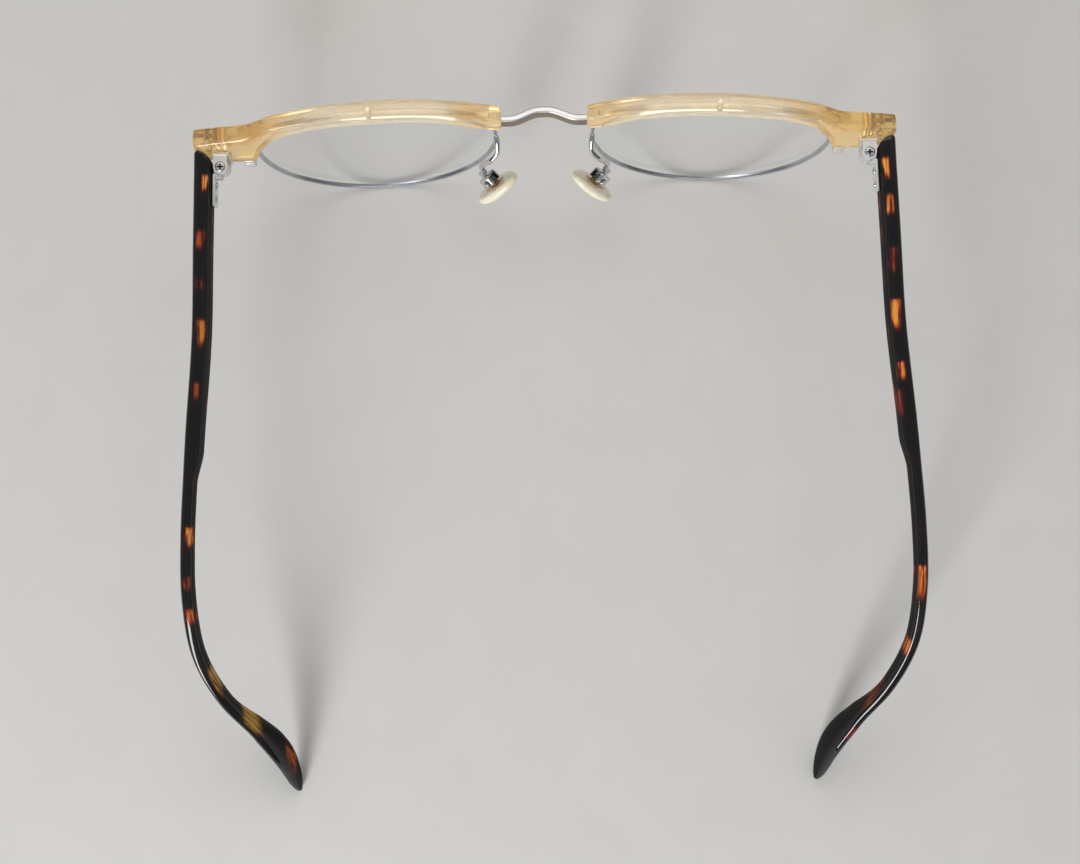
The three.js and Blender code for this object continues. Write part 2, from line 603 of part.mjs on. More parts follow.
// A section ring of the temple. The front end is cut parallel to the end piece's rear face.
function templeRing(s, width, height, corner, offset) {
  const { middle, side, up } = templeFrame(s);
  return roundedRectangle(-width / 2, width / 2, -height / 2, height / 2, corner, 1)
    .map(([a, b]) => {
      const point = middle.clone().addScaledVector(side, a + offset).addScaledVector(up, b);
      const lead = b * Math.tan(TILT) + FRONT_CORNER_CUT * Math.min(0, a / (TEMPLE_THICK / 2));
      if (s === 0) point.y += lead;
      return point;
    });
}

function templeOuterRing(s) {
  const toEnd = Math.max(0, (s - (TEMPLE_LENGTH - TIP_ROUND)) / TIP_ROUND);
  const round = Math.sqrt(Math.max(TIP_LEAST ** 2, 1 - toEnd ** TIP_POWER));
  const width = templeThickness(s) * Math.max(round, TIP_LEAST_THICK);
  const height = templeHeight(s) * round;
  const corner = Math.min(TEMPLE_CORNER, height * TEMPLE_CORNER_SHARE, width * TEMPLE_CORNER_SHARE);
  return templeRing(s, width, height, corner, (TEMPLE_THICK - templeThickness(s)) / 2);
}

function coreRing(s, gap) {
  const offset = (TEMPLE_THICK - templeThickness(s)) / 2;
  return templeRing(s, CORE_WIDTH + 2 * gap, CORE_HEIGHT + 2 * gap, CORE_CORNER, offset);
}

const coreStations = (from, to) => {
  const steps = TEMPLE_STEPS / 2;
  return Array.from({ length: steps + 1 }, (_, i) => mix(from, to, i / steps));
};

function templeGeometry() {
  const stations = Array.from({ length: TEMPLE_STEPS + 1 }, (_, i) => (i / TEMPLE_STEPS) * TEMPLE_LENGTH);
  stations.splice(-1, 0, ...TIP_LAST.map((before) => TEMPLE_LENGTH - before));
  const channel = coreStations(CORE_FROM, CORE_TO).concat(CORE_TO + OVER).reverse().concat(0)
    .map((s) => coreRing(s, CORE_GAP));
  const body = loft([...channel, ...stations.map(templeOuterRing)]);
  const holes = TEMPLE_RIVETS.map((behind) =>
    rivetBar(behind, -HOLE_DEEPER, TEMPLE_RIVET.deep + FIT, TEMPLE_RIVET.radius + HOLE_FIT));
  return cut(body, ...holes);
}

const coreGeometry = () => loft(coreStations(CORE_FROM, CORE_TO).map((s) => coreRing(s, 0)));

const LEAF = { thick: 0.45, from: -1.3, to: -7.6, z0: 31, z1: 35, tongue: 0.9, weldGap: 0.05 };
const TEMPLE_RIVETS = [3.4, 6];
const TEMPLE_RIVET = { radius: 0.4, head: 0.7, headHeight: 0.35, deep: 0.75 };
const LEAF_X = TEMPLE_FRONT.x - TEMPLE_THICK / 2 + (TEMPLE_FRONT.y - HINGE_Y) * Math.tan(TEMPLE_YAW);

// From a frame lying on the temple's inner face, x into the temple and y back from the hinge axis.
const LEAF_FRAME = new THREE.Matrix4().makeRotationZ(TEMPLE_YAW).setPosition(LEAF_X, HINGE_Y, 0);

function rivetBar(behind, x0, x1, radius) {
  const z = (LEAF.z0 + LEAF.z1) / 2;
  return bar(V(x0, -behind, z), V(x1, -behind, z), radius, 12).applyMatrix4(LEAF_FRAME);
}

function leafGeometry() {
  const plate = box(-FIT - LEAF.thick, -FIT, LEAF.to, LEAF.from, LEAF.z0, LEAF.z1).applyMatrix4(LEAF_FRAME);
  const knuckles = [1, 3].map((level) =>
    knuckle(level, HINGE_X, LEAF_X - FIT - LEAF.weldGap, HINGE_Y + LEAF.from - LEAF.tongue, HINGE_Y));
  const bore = hingeBar(HINGE_SCREW.radius + FIT, HINGE_BOTTOM - OVER, HINGE_TOP + OVER);
  const holes = TEMPLE_RIVETS.map((behind) =>
    rivetBar(behind, -OVER, OVER, TEMPLE_RIVET.radius + HOLE_FIT));
  return cut(join(plate, ...knuckles), bore, ...holes);
}

function templeRivetGeometry(behind) {
  const face = -FIT - LEAF.thick - LEAF.weldGap;
  const { radius, head, headHeight, deep } = TEMPLE_RIVET;
  return join(
    rivetBar(behind, face - headHeight / 2, deep, radius),
    rivetBar(behind, face - headHeight, face, head),
  );
}

// ---- assembly -----------------------------------------------------------------------------------
// One half of the front, leaning on the ground. The other half is its mirror image.
function frontHalf(side) {
  const leaning = new THREE.Group();
  leaning.position.y = FRONT_FOOT;
  leaning.rotation.x = -TILT;
  const split = WIDEST_Z;
  const [up, down] = [BLOCK.above, BLOCK.below];
  const screwTop = split + up + FIT + BLOCK_SCREW.headHeight;
  leaning.add(
    part(`eyewire_${side}`, eyewireGeometry(), nickel),
    part(`lens_${side}`, lensGeometry(), glass),
    part(`brow_${side}`, browGeometry(), champagne),
    part(`brow_screw_${side}`, browScrewGeometry(), nickel),
    part(`closing_block_upper_${side}`, closingBlock(split + CLEARANCE / 2, split + up), nickel),
    part(`closing_block_lower_${side}`, closingBlock(split - down, split - CLEARANCE / 2), nickel),
    part(`closing_screw_${side}`, closingScrewGeometry(split - down + 2 * FIT, screwTop), nickel),
    part(`plaque_${side}`, plaqueGeometry(), nickel),
    part(`hinge_rivet_upper_${side}`, rivetGeometry(RIVET.z[1]), nickel),
    part(`hinge_rivet_lower_${side}`, rivetGeometry(RIVET.z[0]), nickel),
    part(`pad_arm_${side}`, padArmGeometry(), chrome),
  );
  const pad = new THREE.Group();
  PAD_FRAME.decompose(pad.position, pad.quaternion, pad.scale);
  pad.add(
    part(`nose_pad_${side}`, padGeometry(), silicone),
    part(`pad_stem_${side}`, padStemGeometry(), brassInsert),
    part(`pad_box_${side}`, padBoxGeometry(), chrome),
    part(`pad_screw_${side}`, padScrewGeometry(), chrome),
  );
  leaning.add(pad);
  return leaning;
}

function sideParts(side) {
  const half = new THREE.Group();
  half.add(
    frontHalf(side),
    part(`hinge_front_${side}`, frontHingeGeometry(), nickel),
    part(`hinge_screw_${side}`, hingeScrewGeometry(), nickel),
    part(`temple_${side}`, templeGeometry(), tortoise),
    part(`temple_core_${side}`, coreGeometry(), nickel),
    part(`hinge_leaf_${side}`, leafGeometry(), nickel),
    part(`temple_rivet_front_${side}`, templeRivetGeometry(TEMPLE_RIVETS[0]), nickel),
    part(`temple_rivet_rear_${side}`, templeRivetGeometry(TEMPLE_RIVETS[1]), nickel),
  );
  half.scale.x = side === "left" ? -1 : 1;
  return half;
}

const glasses = new THREE.Group();
const middle = new THREE.Group();
middle.position.y = FRONT_FOOT;
middle.rotation.x = -TILT;
middle.add(part("bridge", bridgeGeometry(), nickel));
glasses.add(middle, sideParts("left"), sideParts("right"));

// The origin is the middle of the box's lower face, so the glasses stand on the ground.
const bounds = new THREE.Box3().setFromObject(glasses, true);
const centre = bounds.getCenter(V(0, 0, 0));
glasses.position.set(-centre.x, -centre.y, -bounds.min.z);

const eyeglasses = new THREE.Group();
eyeglasses.add(glasses);

export default eyeglasses;
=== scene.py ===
import json
import math

import bmesh
import bpy
from mathutils import Matrix, Vector


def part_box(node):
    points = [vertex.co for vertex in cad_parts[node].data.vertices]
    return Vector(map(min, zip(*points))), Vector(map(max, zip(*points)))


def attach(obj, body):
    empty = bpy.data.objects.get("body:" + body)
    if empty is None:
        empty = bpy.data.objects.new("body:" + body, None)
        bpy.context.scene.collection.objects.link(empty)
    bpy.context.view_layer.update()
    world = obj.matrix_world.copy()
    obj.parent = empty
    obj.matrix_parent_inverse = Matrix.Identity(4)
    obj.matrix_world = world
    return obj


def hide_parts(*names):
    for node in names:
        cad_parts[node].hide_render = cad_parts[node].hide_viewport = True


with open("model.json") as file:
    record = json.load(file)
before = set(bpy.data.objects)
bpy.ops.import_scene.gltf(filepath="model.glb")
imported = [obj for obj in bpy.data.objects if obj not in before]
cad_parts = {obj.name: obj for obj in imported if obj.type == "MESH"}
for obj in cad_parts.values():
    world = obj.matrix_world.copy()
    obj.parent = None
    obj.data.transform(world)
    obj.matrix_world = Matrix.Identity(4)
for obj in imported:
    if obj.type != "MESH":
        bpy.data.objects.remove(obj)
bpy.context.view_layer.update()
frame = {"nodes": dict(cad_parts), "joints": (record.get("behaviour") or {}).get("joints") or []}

# Shapes are worked out in millimetres, in the frames that the part itself is drawn in, and turned to
# metres when a piece is made. Each piece is drawn for the wearer's right (+X) and mirrored for the left.
MM = 0.001

# ---- sizes in millimetres, as in the part, apart from a thinner eyewire
LENS_WIDTH = 47.4
LENS_HEIGHT = 38.0
BRIDGE_GAP = 20.4
FRONT_WIDTH = 137.8
LENS_ABOVE_WIDEST = 12.6
LENS_POWER_ABOVE = 3.0
LENS_POWER_BELOW = 2.05
LENS_HALF_THICK = 0.75
LENS_BEVEL = 0.3
BASE_RADIUS = 200.0
WRAP = math.radians(2.5)
TILT = math.radians(12.3)
EYEWIRE_HALF_DEPTH = 0.42
EYEWIRE_RADIAL = 0.7
EYEWIRE_BOTTOM = 0.2
GROOVE = 0.35
FIT = 0.1
CLEARANCE = 0.3
HOLE_FIT = 0.12
HOLE_DEEPER = 0.2  # a blind hole goes past the end of its pin
OVER = 1.0  # a cutting tool reaches past the faces it opens

BROW_FRONT = 1.7
BROW_REAR = 1.9
BROW_NASAL = 8.4
BROW_NASAL_ROUND = 0.8
BROW_END_ROUND = 0.55
BROW_POWER = 5.0  # squareness of its section
BROW_POINTS, BROW_SECTIONS = 56, 110
BROW_LIP = 1.1
BROW_BOTTOM_BLEND = 0.5  # how softly the lower edge turns from the lens to the end piece
BROW_TOP = [(BROW_NASAL, 39.6), (17, 41.5), (30, 42.5), (44, 42), (57, 40.2), (FRONT_WIDTH / 2, 37.8)]
BROW_TOP_INSIDE = 0.04  # the finer surface stays this far under the part's upper edge
NASAL_BOTTOM = 34.6
END_PIECE_FROM = 53.0  # the brow turns into the end piece between these
END_PIECE_TO = 59.5
END_PIECE_FRONT = -1.3
END_PIECE_REAR = -5.5
END_PIECE_BOTTOM = 28.5
END_PIECE_RISE = 1.6  # of the lower edge, from END_PIECE_RISE_FROM to the outer end
END_PIECE_RISE_FROM = 62.0

FRONT_FOOT = 54.4
HINGE_X = 64.0
HINGE_Y = FRONT_FOOT - 0.75
HINGE_BOTTOM = 30.6
KNUCKLE_RADIUS = 1.35
KNUCKLE_HEIGHT = 0.86
KNUCKLE_PITCH = 1.0
KNUCKLES = 5
HINGE_TOP = HINGE_BOTTOM + (KNUCKLES - 1) * KNUCKLE_PITCH + KNUCKLE_HEIGHT
HINGE_SCREW_TOP = HINGE_TOP + 0.12

TEMPLE_THICK = 3.4
TEMPLE_THIN = 2.5
TEMPLE_TIP_THICK = 2.9
TEMPLE_FRONT_HEIGHT = 6.6
TEMPLE_MIDDLE_HEIGHT = 4.9
TEMPLE_TIP_HEIGHT = 9.6

LENS_X = BRIDGE_GAP / 2 + LENS_WIDTH / 2
LENS_BELOW_WIDEST = LENS_HEIGHT - LENS_ABOVE_WIDEST
WIDEST_Z = EYEWIRE_BOTTOM + EYEWIRE_RADIAL + FIT + LENS_BELOW_WIDEST
LENS_MIDDLE_Z = WIDEST_Z + (LENS_ABOVE_WIDEST - LENS_BELOW_WIDEST) / 2
END_X = FRONT_WIDTH / 2

# ---- frames: the table that the glasses stand on, and the front that leans on it
FOLD_RIGHT = next(joint for joint in frame["joints"] if joint["name"] == "temple_fold_right")
AHEAD = FOLD_RIGHT["pos_m"][1] / MM - HINGE_Y
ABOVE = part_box("hinge_screw_right")[1].z / MM - HINGE_SCREW_TOP
TABLE = Matrix.Translation((0, AHEAD, ABOVE))
FRONT = TABLE @ Matrix.Translation((0, FRONT_FOOT, 0)) @ Matrix.Rotation(-TILT, 4, "X")


# ---- helpers
def smooth(x, start, end):
    t = min(1.0, max(0.0, (x - start) / (end - start)))
    return t * t * (3 - 2 * t)


def mix(a, b, t):
    return a + (b - a) * t


def steps(start, end, count):
    """count + 1 evenly spaced values."""
    return [mix(start, end, i / count) for i in range(count + 1)]


def closed(points, faces):
    """A mesh with its faces turned outwards."""
    shape = bmesh.new()
    verts = [shape.verts.new(point) for point in points]
    for face in faces:
        shape.faces.new([verts[i] for i in face])
    bmesh.ops.recalc_face_normals(shape, faces=shape.faces)
    mesh = bpy.data.meshes.new("shape")
    shape.to_mesh(mesh)
    shape.free()
    return mesh


def loft(rings, loop=False):
    """A closed skin through rings of equally many points."""
    size, count = len(rings[0]), len(rings)
    faces = []
    for ring in range(count if loop else count - 1):
        here, there = ring * size, (ring + 1) % count * size
        for i in range(size):
            j = (i + 1) % size
            faces.append((here + i, here + j, there + j, there + i))
    if not loop:
        faces += [tuple(range(size)), tuple(range((count - 1) * size, count * size))]
    return closed([point for ring in rings for point in ring], faces)


def superellipse(half_a, half_b, power, count):
    ring = []
    for i in range(count):
        angle = 2 * math.pi * (i + 0.5) / count
        c, s = math.cos(angle), math.sin(angle)
        a = math.copysign(abs(c) ** (2 / power), c) * half_a
        b = math.copysign(abs(s) ** (2 / power), s) * half_b
        ring.append((a, b))
    return ring


def rounded(corners, radii, count=4):
    """A flat outline with each corner replaced by a short curve."""
    outline = []
    for i, corner in enumerate(corners):
        here = Vector(corner)
        before, after = Vector(corners[i - 1]), Vector(corners[(i + 1) % len(corners)])
        start = here + (before - here).normalized() * radii[i]
        end = here + (after - here).normalized() * radii[i]
        outline += [start.lerp(here, t).lerp(here.lerp(end, t), t) for t in steps(0, 1, count)]
    return outline


def prism(outline, z0, z1):
    return loft([[Vector((x, y, z)) for x, y in outline] for z in (z0, z1)])


def block(x0, x1, y0, y1, z0, z1):
    return prism([(x0, y0), (x1, y0), (x1, y1), (x0, y1)], z0, z1)


def turned(start, along, profile, sides=40):
    """A round piece on an axis. Its profile is pairs of distance along and radius."""
    along = Vector(along).normalized()
    across = along.orthogonal().normalized()
    other = along.cross(across)
    angles = [2 * math.pi * i / sides for i in range(sides)]
    return loft([
        [Vector(start) + along * t + (across * math.cos(a) + other * math.sin(a)) * radius for a in angles]
        for t, radius in profile
    ])


def bar(start, end, radius, sides=40):
    along = Vector(end) - Vector(start)
    return turned(start, along, [(0, radius), (along.length, radius)], sides)


def placed(mesh, matrix):
    mesh.transform(matrix)
    return mesh


def with_modifiers(mesh, *modifiers):
    """The mesh after modifiers, each given as its type and its settings."""
    made = bpy.data.objects.new("working", mesh)
    bpy.context.scene.collection.objects.link(made)
    for kind, settings in modifiers:
        modifier = made.modifiers.new(kind, kind)
        for name, value in settings.items():
            setattr(modifier, name, value)
    result = bpy.data.meshes.new_from_object(made.evaluated_get(bpy.context.evaluated_depsgraph_get()))
    bpy.data.objects.remove(made)
    return result


def combine(mesh, others, operation):
    tools = []
    for other in others:
        tool = bpy.data.objects.new("tool", other)
        bpy.context.scene.collection.objects.link(tool)
        tools.append(tool)
    result = with_modifiers(mesh, *[
        ("BOOLEAN", {"object": tool, "operation": operation, "solver": "EXACT"}) for tool in tools
    ])
    for tool in tools:
        bpy.data.objects.remove(tool)
    return result


def cut(mesh, *tools):
    return combine(mesh, tools, "DIFFERENCE")


def join(mesh, *others):
    return combine(mesh, others, "UNION")


def softened(mesh, width, segments=2):
    """Small rounds on all the sharp edges."""
    return with_modifiers(mesh, ("BEVEL", {
        "width": width, "segments": segments, "limit_method": "ANGLE", "angle_limit": math.radians(40),
        "use_clamp_overlap": True,
    }))


SMOOTH_BELOW = math.radians(38)


def piece(name, mesh, node, material, body, mirror=False):
    """One visible piece, in metres in the row frame, standing for one CAD node."""
    made = mesh.copy()
    made.transform(Matrix.Diagonal((-MM if mirror else MM, MM, MM, 1)))
    if mirror:
        made.flip_normals()
    made.shade_smooth()
    made.set_sharp_from_angle(angle=SMOOTH_BELOW)
    made.materials.clear()
    made.materials.append(material)
    shown = bpy.data.objects.new(name, made)
    bpy.context.scene.collection.objects.link(shown)
    normals = shown.modifiers.new("even_normals", "WEIGHTED_NORMAL")
    normals.keep_sharp = True
    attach(shown, body)
    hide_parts(node)
    return shown


def both_sides(stem, mesh, slot, material, body="front"):
    """A piece for the wearer's right and its mirror image for the left."""
    for side in ("right", "left"):
        piece(f"shown_{stem}_{side}", mesh, f"{stem}_{side}", material,
              body.format(side=side), mirror=side == "left")


ROUTE_SPANS = 40  # straight pieces between two points of a route
ROUTE_REACH = 0.3  # each way, to find its direction


class Route:
    """A smooth curve through points, read by the distance along it."""

    def __init__(self, points):
        points = [Vector(point) for point in points]
        ends = [2 * points[0] - points[1], *points, 2 * points[-1] - points[-2]]
        self.samples = [points[0]]
        for p0, p1, p2, p3 in zip(ends, ends[1:], ends[2:], ends[3:]):
            d0, d1, d2 = ((b - a).length ** 0.5 for a, b in ((p0, p1), (p1, p2), (p2, p3)))
            leave = ((p1 - p0) / d0 - (p2 - p0) / (d0 + d1) + (p2 - p1) / d1) * d1
            arrive = ((p2 - p1) / d1 - (p3 - p1) / (d1 + d2) + (p3 - p2) / d2) * d1
            for t in steps(0, 1, ROUTE_SPANS)[1:]:
                self.samples.append(
                    p1 + leave * t + (3 * (p2 - p1) - 2 * leave - arrive) * t ** 2
                    + (2 * (p1 - p2) + leave + arrive) * t ** 3
                )
        self.reached = [0.0]
        for a, b in zip(self.samples, self.samples[1:]):
            self.reached.append(self.reached[-1] + (b - a).length)
        self.length = self.reached[-1]

    def point(self, s):
        s = min(max(s, 0.0), self.length)
        i = next(i for i, reached in enumerate(self.reached[1:]) if reached >= s - 1e-9)
        share = (s - self.reached[i]) / (self.reached[i + 1] - self.reached[i])
        return self.samples[i].lerp(self.samples[i + 1], share)

    def direction(self, s):
        return (self.point(s + ROUTE_REACH) - self.point(s - ROUTE_REACH)).normalized()


# ---- materials
class Shader:
    """Builds the nodes of one material, or of the world."""

    def __init__(self, holder):
        self.holder = holder
        holder.use_nodes = True
        self.tree = holder.node_tree
        self.tree.nodes.clear()

    def node(self, kind, inputs=(), **settings):
        made = self.tree.nodes.new("ShaderNode" + kind)
        for name, value in settings.items():
            setattr(made, name, value)
        for name, value in dict(inputs).items():
            if isinstance(value, bpy.types.NodeSocket):
                self.tree.links.new(value, made.inputs[name])
            else:
                made.inputs[name].default_value = value
        return made

    def place(self):
        return self.node("TexCoord").outputs["Object"]

    def facing(self, axis):
        return self.part(self.node("NewGeometry").outputs["Normal"], axis)

    def attribute(self, name):
        return self.node("Attribute", attribute_name=name).outputs["Vector"]

    def part(self, vector, axis):
        return self.node("SeparateXYZ", {0: vector}).outputs[axis]

    def vectors(self, operation, *values, output=0):
        return self.node("VectorMath", dict(enumerate(values)), operation=operation).outputs[output]

    def blend(self, share, first, second):
        return self.node("Mix", {0: share, 6: first, 7: second}, data_type="RGBA").outputs[2]

    def noise(self, vector, scale, detail=2.0, distortion=0.0):
        return self.node("TexNoise", {"Vector": vector, "Scale": scale, "Detail": detail,
                                      "Distortion": distortion}).outputs["Fac"]

    def maths(self, operation, *values):
        return self.node("Math", dict(enumerate(values)), operation=operation).outputs[0]

    def between(self, value, low, high, new_low, new_high):
        return self.node("MapRange", {"Value": value, "From Min": low, "From Max": high,
                                      "To Min": new_low, "To Max": new_high}).outputs[0]

    def colours(self, value, *stops):
        made = self.node("ValToRGB", {"Fac": value})
        elements = made.color_ramp.elements
        while len(elements) < len(stops):
            elements.new(0.5)
        for element, (at, colour) in zip(elements, stops):
            element.position = at
            element.color = (*colour, 1)
        return made.outputs["Color"]

    def bump(self, height, distance, strength=1.0):
        return self.node("Bump", {"Height": height, "Distance": distance, "Strength": strength}).outputs[0]

    def finish(self, surface, volume=None):
        output = self.node("OutputMaterial", {"Surface": surface})
        if volume is not None:
            self.tree.links.new(volume, output.inputs["Volume"])
        return self.holder


def new_shader(name):
    return Shader(bpy.data.materials.new(name))


def tortoise_acetate():
    """Near-black brown with drawn-out red-brown to amber blotches inside it, under a high polish."""
    shader = new_shader("tortoise_acetate")
    grain = shader.attribute("grain")
    across, upwards, behind = (shader.part(grain, axis) for axis in "XYZ")
    brightness, middle, olive_share = (shader.part(shader.attribute("glow"), axis) for axis in "XYZ")
    at_tip = shader.between(behind, TIP_FROM - 8, TIP_FROM + 4, 0.0, 1.0)
    streaks = shader.noise(shader.vectors("MULTIPLY", grain, (1.7, 1.2, 0.14)), 1.0, 2.0, 0.2)
    clouds = shader.noise(shader.vectors("MULTIPLY", grain, (0.5, 0.36, 0.12)), 1.0, 2.0, 0.5)
    wander = shader.maths("SUBTRACT", across, middle)
    wander = shader.maths("ADD", wander, shader.between(clouds, 0.3, 0.7, -0.45, 0.45))
    inside = shader.between(shader.maths("ABSOLUTE", wander), 0.35, 1.25, 1.0, 0.0)
    streaked = shader.between(streaks, 0.38, 0.56, shader.between(at_tip, 0.0, 1.0, 0.45, 0.8), 1.1)
    placed_glow = shader.maths("MULTIPLY", shader.maths("MULTIPLY", inside, brightness), streaked)
    on_the_sides = shader.between(upwards, 1.4, 2.1, 1.0, 0.25)
    loose_glow = shader.maths("MULTIPLY", shader.between(clouds, 0.55, 0.7, 0.0, 0.8),
                              shader.between(streaks, 0.36, 0.6, 0.5, 1.0))
    loose_glow = shader.maths("MULTIPLY", loose_glow, on_the_sides)
    loose_glow = shader.maths("MULTIPLY", loose_glow, shader.maths("SUBTRACT", 1.0, at_tip))
    warmth = shader.maths("MAXIMUM", placed_glow, loose_glow)
    amber = shader.colours(
        warmth,
        (0.0, (0.005, 0.004, 0.005)),
        (0.2, (0.014, 0.005, 0.005)),
        (0.42, (0.12, 0.014, 0.008)),
        (0.62, (0.42, 0.07, 0.014)),
        (0.82, (0.72, 0.21, 0.028)),
        (1.0, (0.86, 0.38, 0.06)),
    )
    olive = shader.colours(
        warmth,
        (0.0, (0.005, 0.004, 0.004)),
        (0.3, (0.02, 0.008, 0.004)),
        (0.55, (0.14, 0.055, 0.008)),
        (0.8, (0.38, 0.2, 0.028)),
        (1.0, (0.6, 0.38, 0.08)),
    )
    wear = shader.noise(shader.vectors("MULTIPLY", grain, (3.0, 3.0, 0.5)), 1.0, 4.0)
    surface = shader.node("BsdfPrincipled", {
        "Base Color": shader.blend(olive_share, amber, olive),
        "Roughness": shader.between(wear, 0.3, 0.7, 0.3, 0.4),
        "IOR": 1.49,
        "Specular IOR Level": 0.0,
        "Coat Weight": shader.between(shader.facing("Z"), 0.15, 0.6, 0.15, 0.95),
        "Coat IOR": 1.55,
        "Coat Roughness": shader.between(wear, 0.35, 0.7, 0.03, 0.08),
        "Normal": shader.bump(wear, 0.00001, 0.3),
    })
    return shader.finish(surface.outputs[0])


def clear_acetate():
    """Champagne acetate: pale and slightly milky, with painted light towards both ends of a brow: an amber
    tint for the deeper colour that light takes on long paths inside it.
    """
    shader = new_shader("champagne_acetate")
    place = shader.place()
    cloud = shader.noise(place, 70.0, 2.0)
    pale = shader.colours(cloud, (0.3, (0.96, 0.88, 0.72)), (0.7, (0.98, 0.92, 0.79)))
    honey = shader.colours(cloud, (0.3, (0.97, 0.7, 0.32)), (0.7, (0.99, 0.81, 0.46)))
    # painted light: the amber tint near both ends of the brow stands in for light's long paths inside the
    # acetate there
    aside = shader.maths("ABSOLUTE", shader.part(place, "X"))
    aside = shader.maths("ADD", aside, shader.between(cloud, 0.3, 0.7, -0.003, 0.003))
    outer = shader.between(aside, 0.046, 0.057, 0.0, 1.0)
    inner = shader.between(aside, 0.011, 0.018, 0.7, 0.0)
    tint = shader.blend(shader.maths("ADD", outer, inner), pale, honey)
    polish = shader.noise(place, 500.0, 3.0)
    glassy = shader.node("BsdfPrincipled", {
        "Base Color": tint,
        "Roughness": shader.between(polish, 0.3, 0.7, 0.06, 0.1),
        "IOR": 1.49,
        "Specular IOR Level": 0.3,
        "Transmission Weight": 0.84,
        "Normal": shader.bump(polish, 0.000006, 0.2),
    }).outputs[0]
    lit_through = shader.node("BsdfTransparent", {"Color": (0.94, 0.8, 0.56, 1)}).outputs[0]
    shadow = shader.node("LightPath").outputs["Is Shadow Ray"]
    surface = shader.node("MixShader", {0: shadow, 1: glassy, 2: lit_through}).outputs[0]
    volume = shader.node("VolumeAbsorption", {"Color": (0.92, 0.7, 0.2, 1), "Density": 20.0}).outputs[0]
    return shader.finish(surface, volume)


def satin_metal(name, dark, light, smoothest, roughest, metallic=1.0, rear=None):
    """Tumbled metal: an even, fine satin with faint patches, and, if rear is given, painted shade on the
    faces turned to the rear.
    """
    shader = new_shader(name)
    place = shader.place()
    satin = shader.noise(shader.vectors("MULTIPLY", place, (9000.0, 9000.0, 3000.0)), 1.0, 3.0)
    patches = shader.noise(place, 260.0, 2.0)
    colour = shader.colours(patches, (0.3, dark), (0.7, light))
    if rear:
        # painted shade: faces turned to the rear take the darker brown rear colour, for their shade and the
        # floor they reflect
        behind = shader.between(shader.facing("Y"), -0.35, -0.8, 0.0, 1.0)
        colour = shader.blend(behind, colour, (*rear, 1))
    surface = shader.node("BsdfPrincipled", {
        "Base Color": colour,
        "Metallic": metallic,
        "Roughness": shader.between(satin, 0.3, 0.7, smoothest, roughest),
        "Normal": shader.bump(satin, 0.000002, 0.2),
    })
    return shader.finish(surface.outputs[0])


def plated_metal(name, scale, detail, dark, light, smoothest, roughest, bump=0.0, inside=None):
    """Bright metal. inside gives a function for where it is darker, and that darker colour: painted shade in
    a screw's cross, or a second metal on a pad stem's neck.
    """
    shader = new_shader(name)
    place = shader.place()
    patches = shader.noise(place, scale, detail)
    colour = shader.colours(patches, (0.3, dark), (0.7, light))
    if inside:
        where, shade = inside
        colour = shader.blend(where(shader, place), colour, (*shade, 1))
    surface = shader.node("BsdfPrincipled", {
        "Base Color": colour,
        "Metallic": 1.0,
        "Roughness": shader.between(patches, 0.3, 0.7, smoothest, roughest),
    })
    if bump:
        shader.tree.links.new(shader.bump(patches, bump, 0.2), surface.inputs["Normal"])
    return shader.finish(surface.outputs[0])


def painted_shade_in_the_cross(shader, place):
    """Painted shade down in the cross of a hinge screw's head."""
    top = (HINGE_SCREW_TOP + ABOVE) * MM
    return shader.between(shader.part(place, "Z"), top - 0.12 * MM, top - 0.2 * MM, 0.0, 1.0)


def behind_the_plate(shader, place):
    """The neck of a pad's stem, on either side."""
    from_pad = shader.vectors("SUBTRACT", shader.vectors("ABSOLUTE", place), PAD.translation * MM)
    out = shader.vectors("DOT_PRODUCT", from_pad, PAD.to_3x3() @ Vector((0, 1, 0)), output="Value")
    plate_back = (-PAD_THICK / 2 - PAD_STEM["out"]) * MM
    return shader.between(out, plate_back - 0.2 * MM, plate_back - 0.1 * MM, 1.0, 0.0)


def pad_silicone():
    """Soft cream silicone that lets some light through."""
    shader = new_shader("pad_silicone")
    place = shader.place()
    cloud = shader.noise(place, 240.0, 2.0)
    surface = shader.node("BsdfPrincipled", {
        "Base Color": shader.colours(cloud, (0.3, (0.89, 0.82, 0.6)), (0.7, (0.92, 0.86, 0.67))),
        "Roughness": shader.between(cloud, 0.3, 0.7, 0.22, 0.32),
        "IOR": 1.41,
        "Transmission Weight": 0.12,
        "Subsurface Weight": 0.3,
        "Subsurface Radius": (0.0011, 0.001, 0.0008),
        "Subsurface Scale": 1.0,
        "Coat Weight": 0.2,
        "Coat Roughness": 0.15,
        "Normal": shader.bump(cloud, 0.00003, 0.2),
    })
    return shader.finish(surface.outputs[0])


def clear_lens():
    """A coated lens: nearly all light goes through, and a faint cool gloss stays."""
    shader = new_shader("clear_lens")
    place = shader.place()
    film = shader.noise(place, 45.0, 1.0)
    gloss = shader.node("BsdfGlossy", {
        "Color": shader.colours(film, (0.35, (0.82, 0.9, 0.9)), (0.65, (0.86, 0.86, 0.95))),
        "Roughness": 0.02,
    }).outputs[0]
    through = shader.node("BsdfTransparent", {"Color": (0.993, 0.996, 0.995, 1)}).outputs[0]
    share = shader.maths("MULTIPLY", shader.node("Fresnel", {"IOR": 1.5}).outputs[0], 0.12)
    return shader.finish(shader.node("MixShader", {0: share, 1: through, 2: gloss}).outputs[0])


def plain_floor():
    shader = new_shader("plain_floor")
    cloud = shader.noise(shader.place(), 60.0, 4.0)
    surface = shader.node("BsdfPrincipled", {
        "Base Color": shader.colours(cloud, (0.3, (0.72, 0.7, 0.67)), (0.7, (0.74, 0.72, 0.69))),
        "Roughness": 0.75,
        "Specular IOR Level": 0.2,
    })
    return shader.finish(surface.outputs[0])


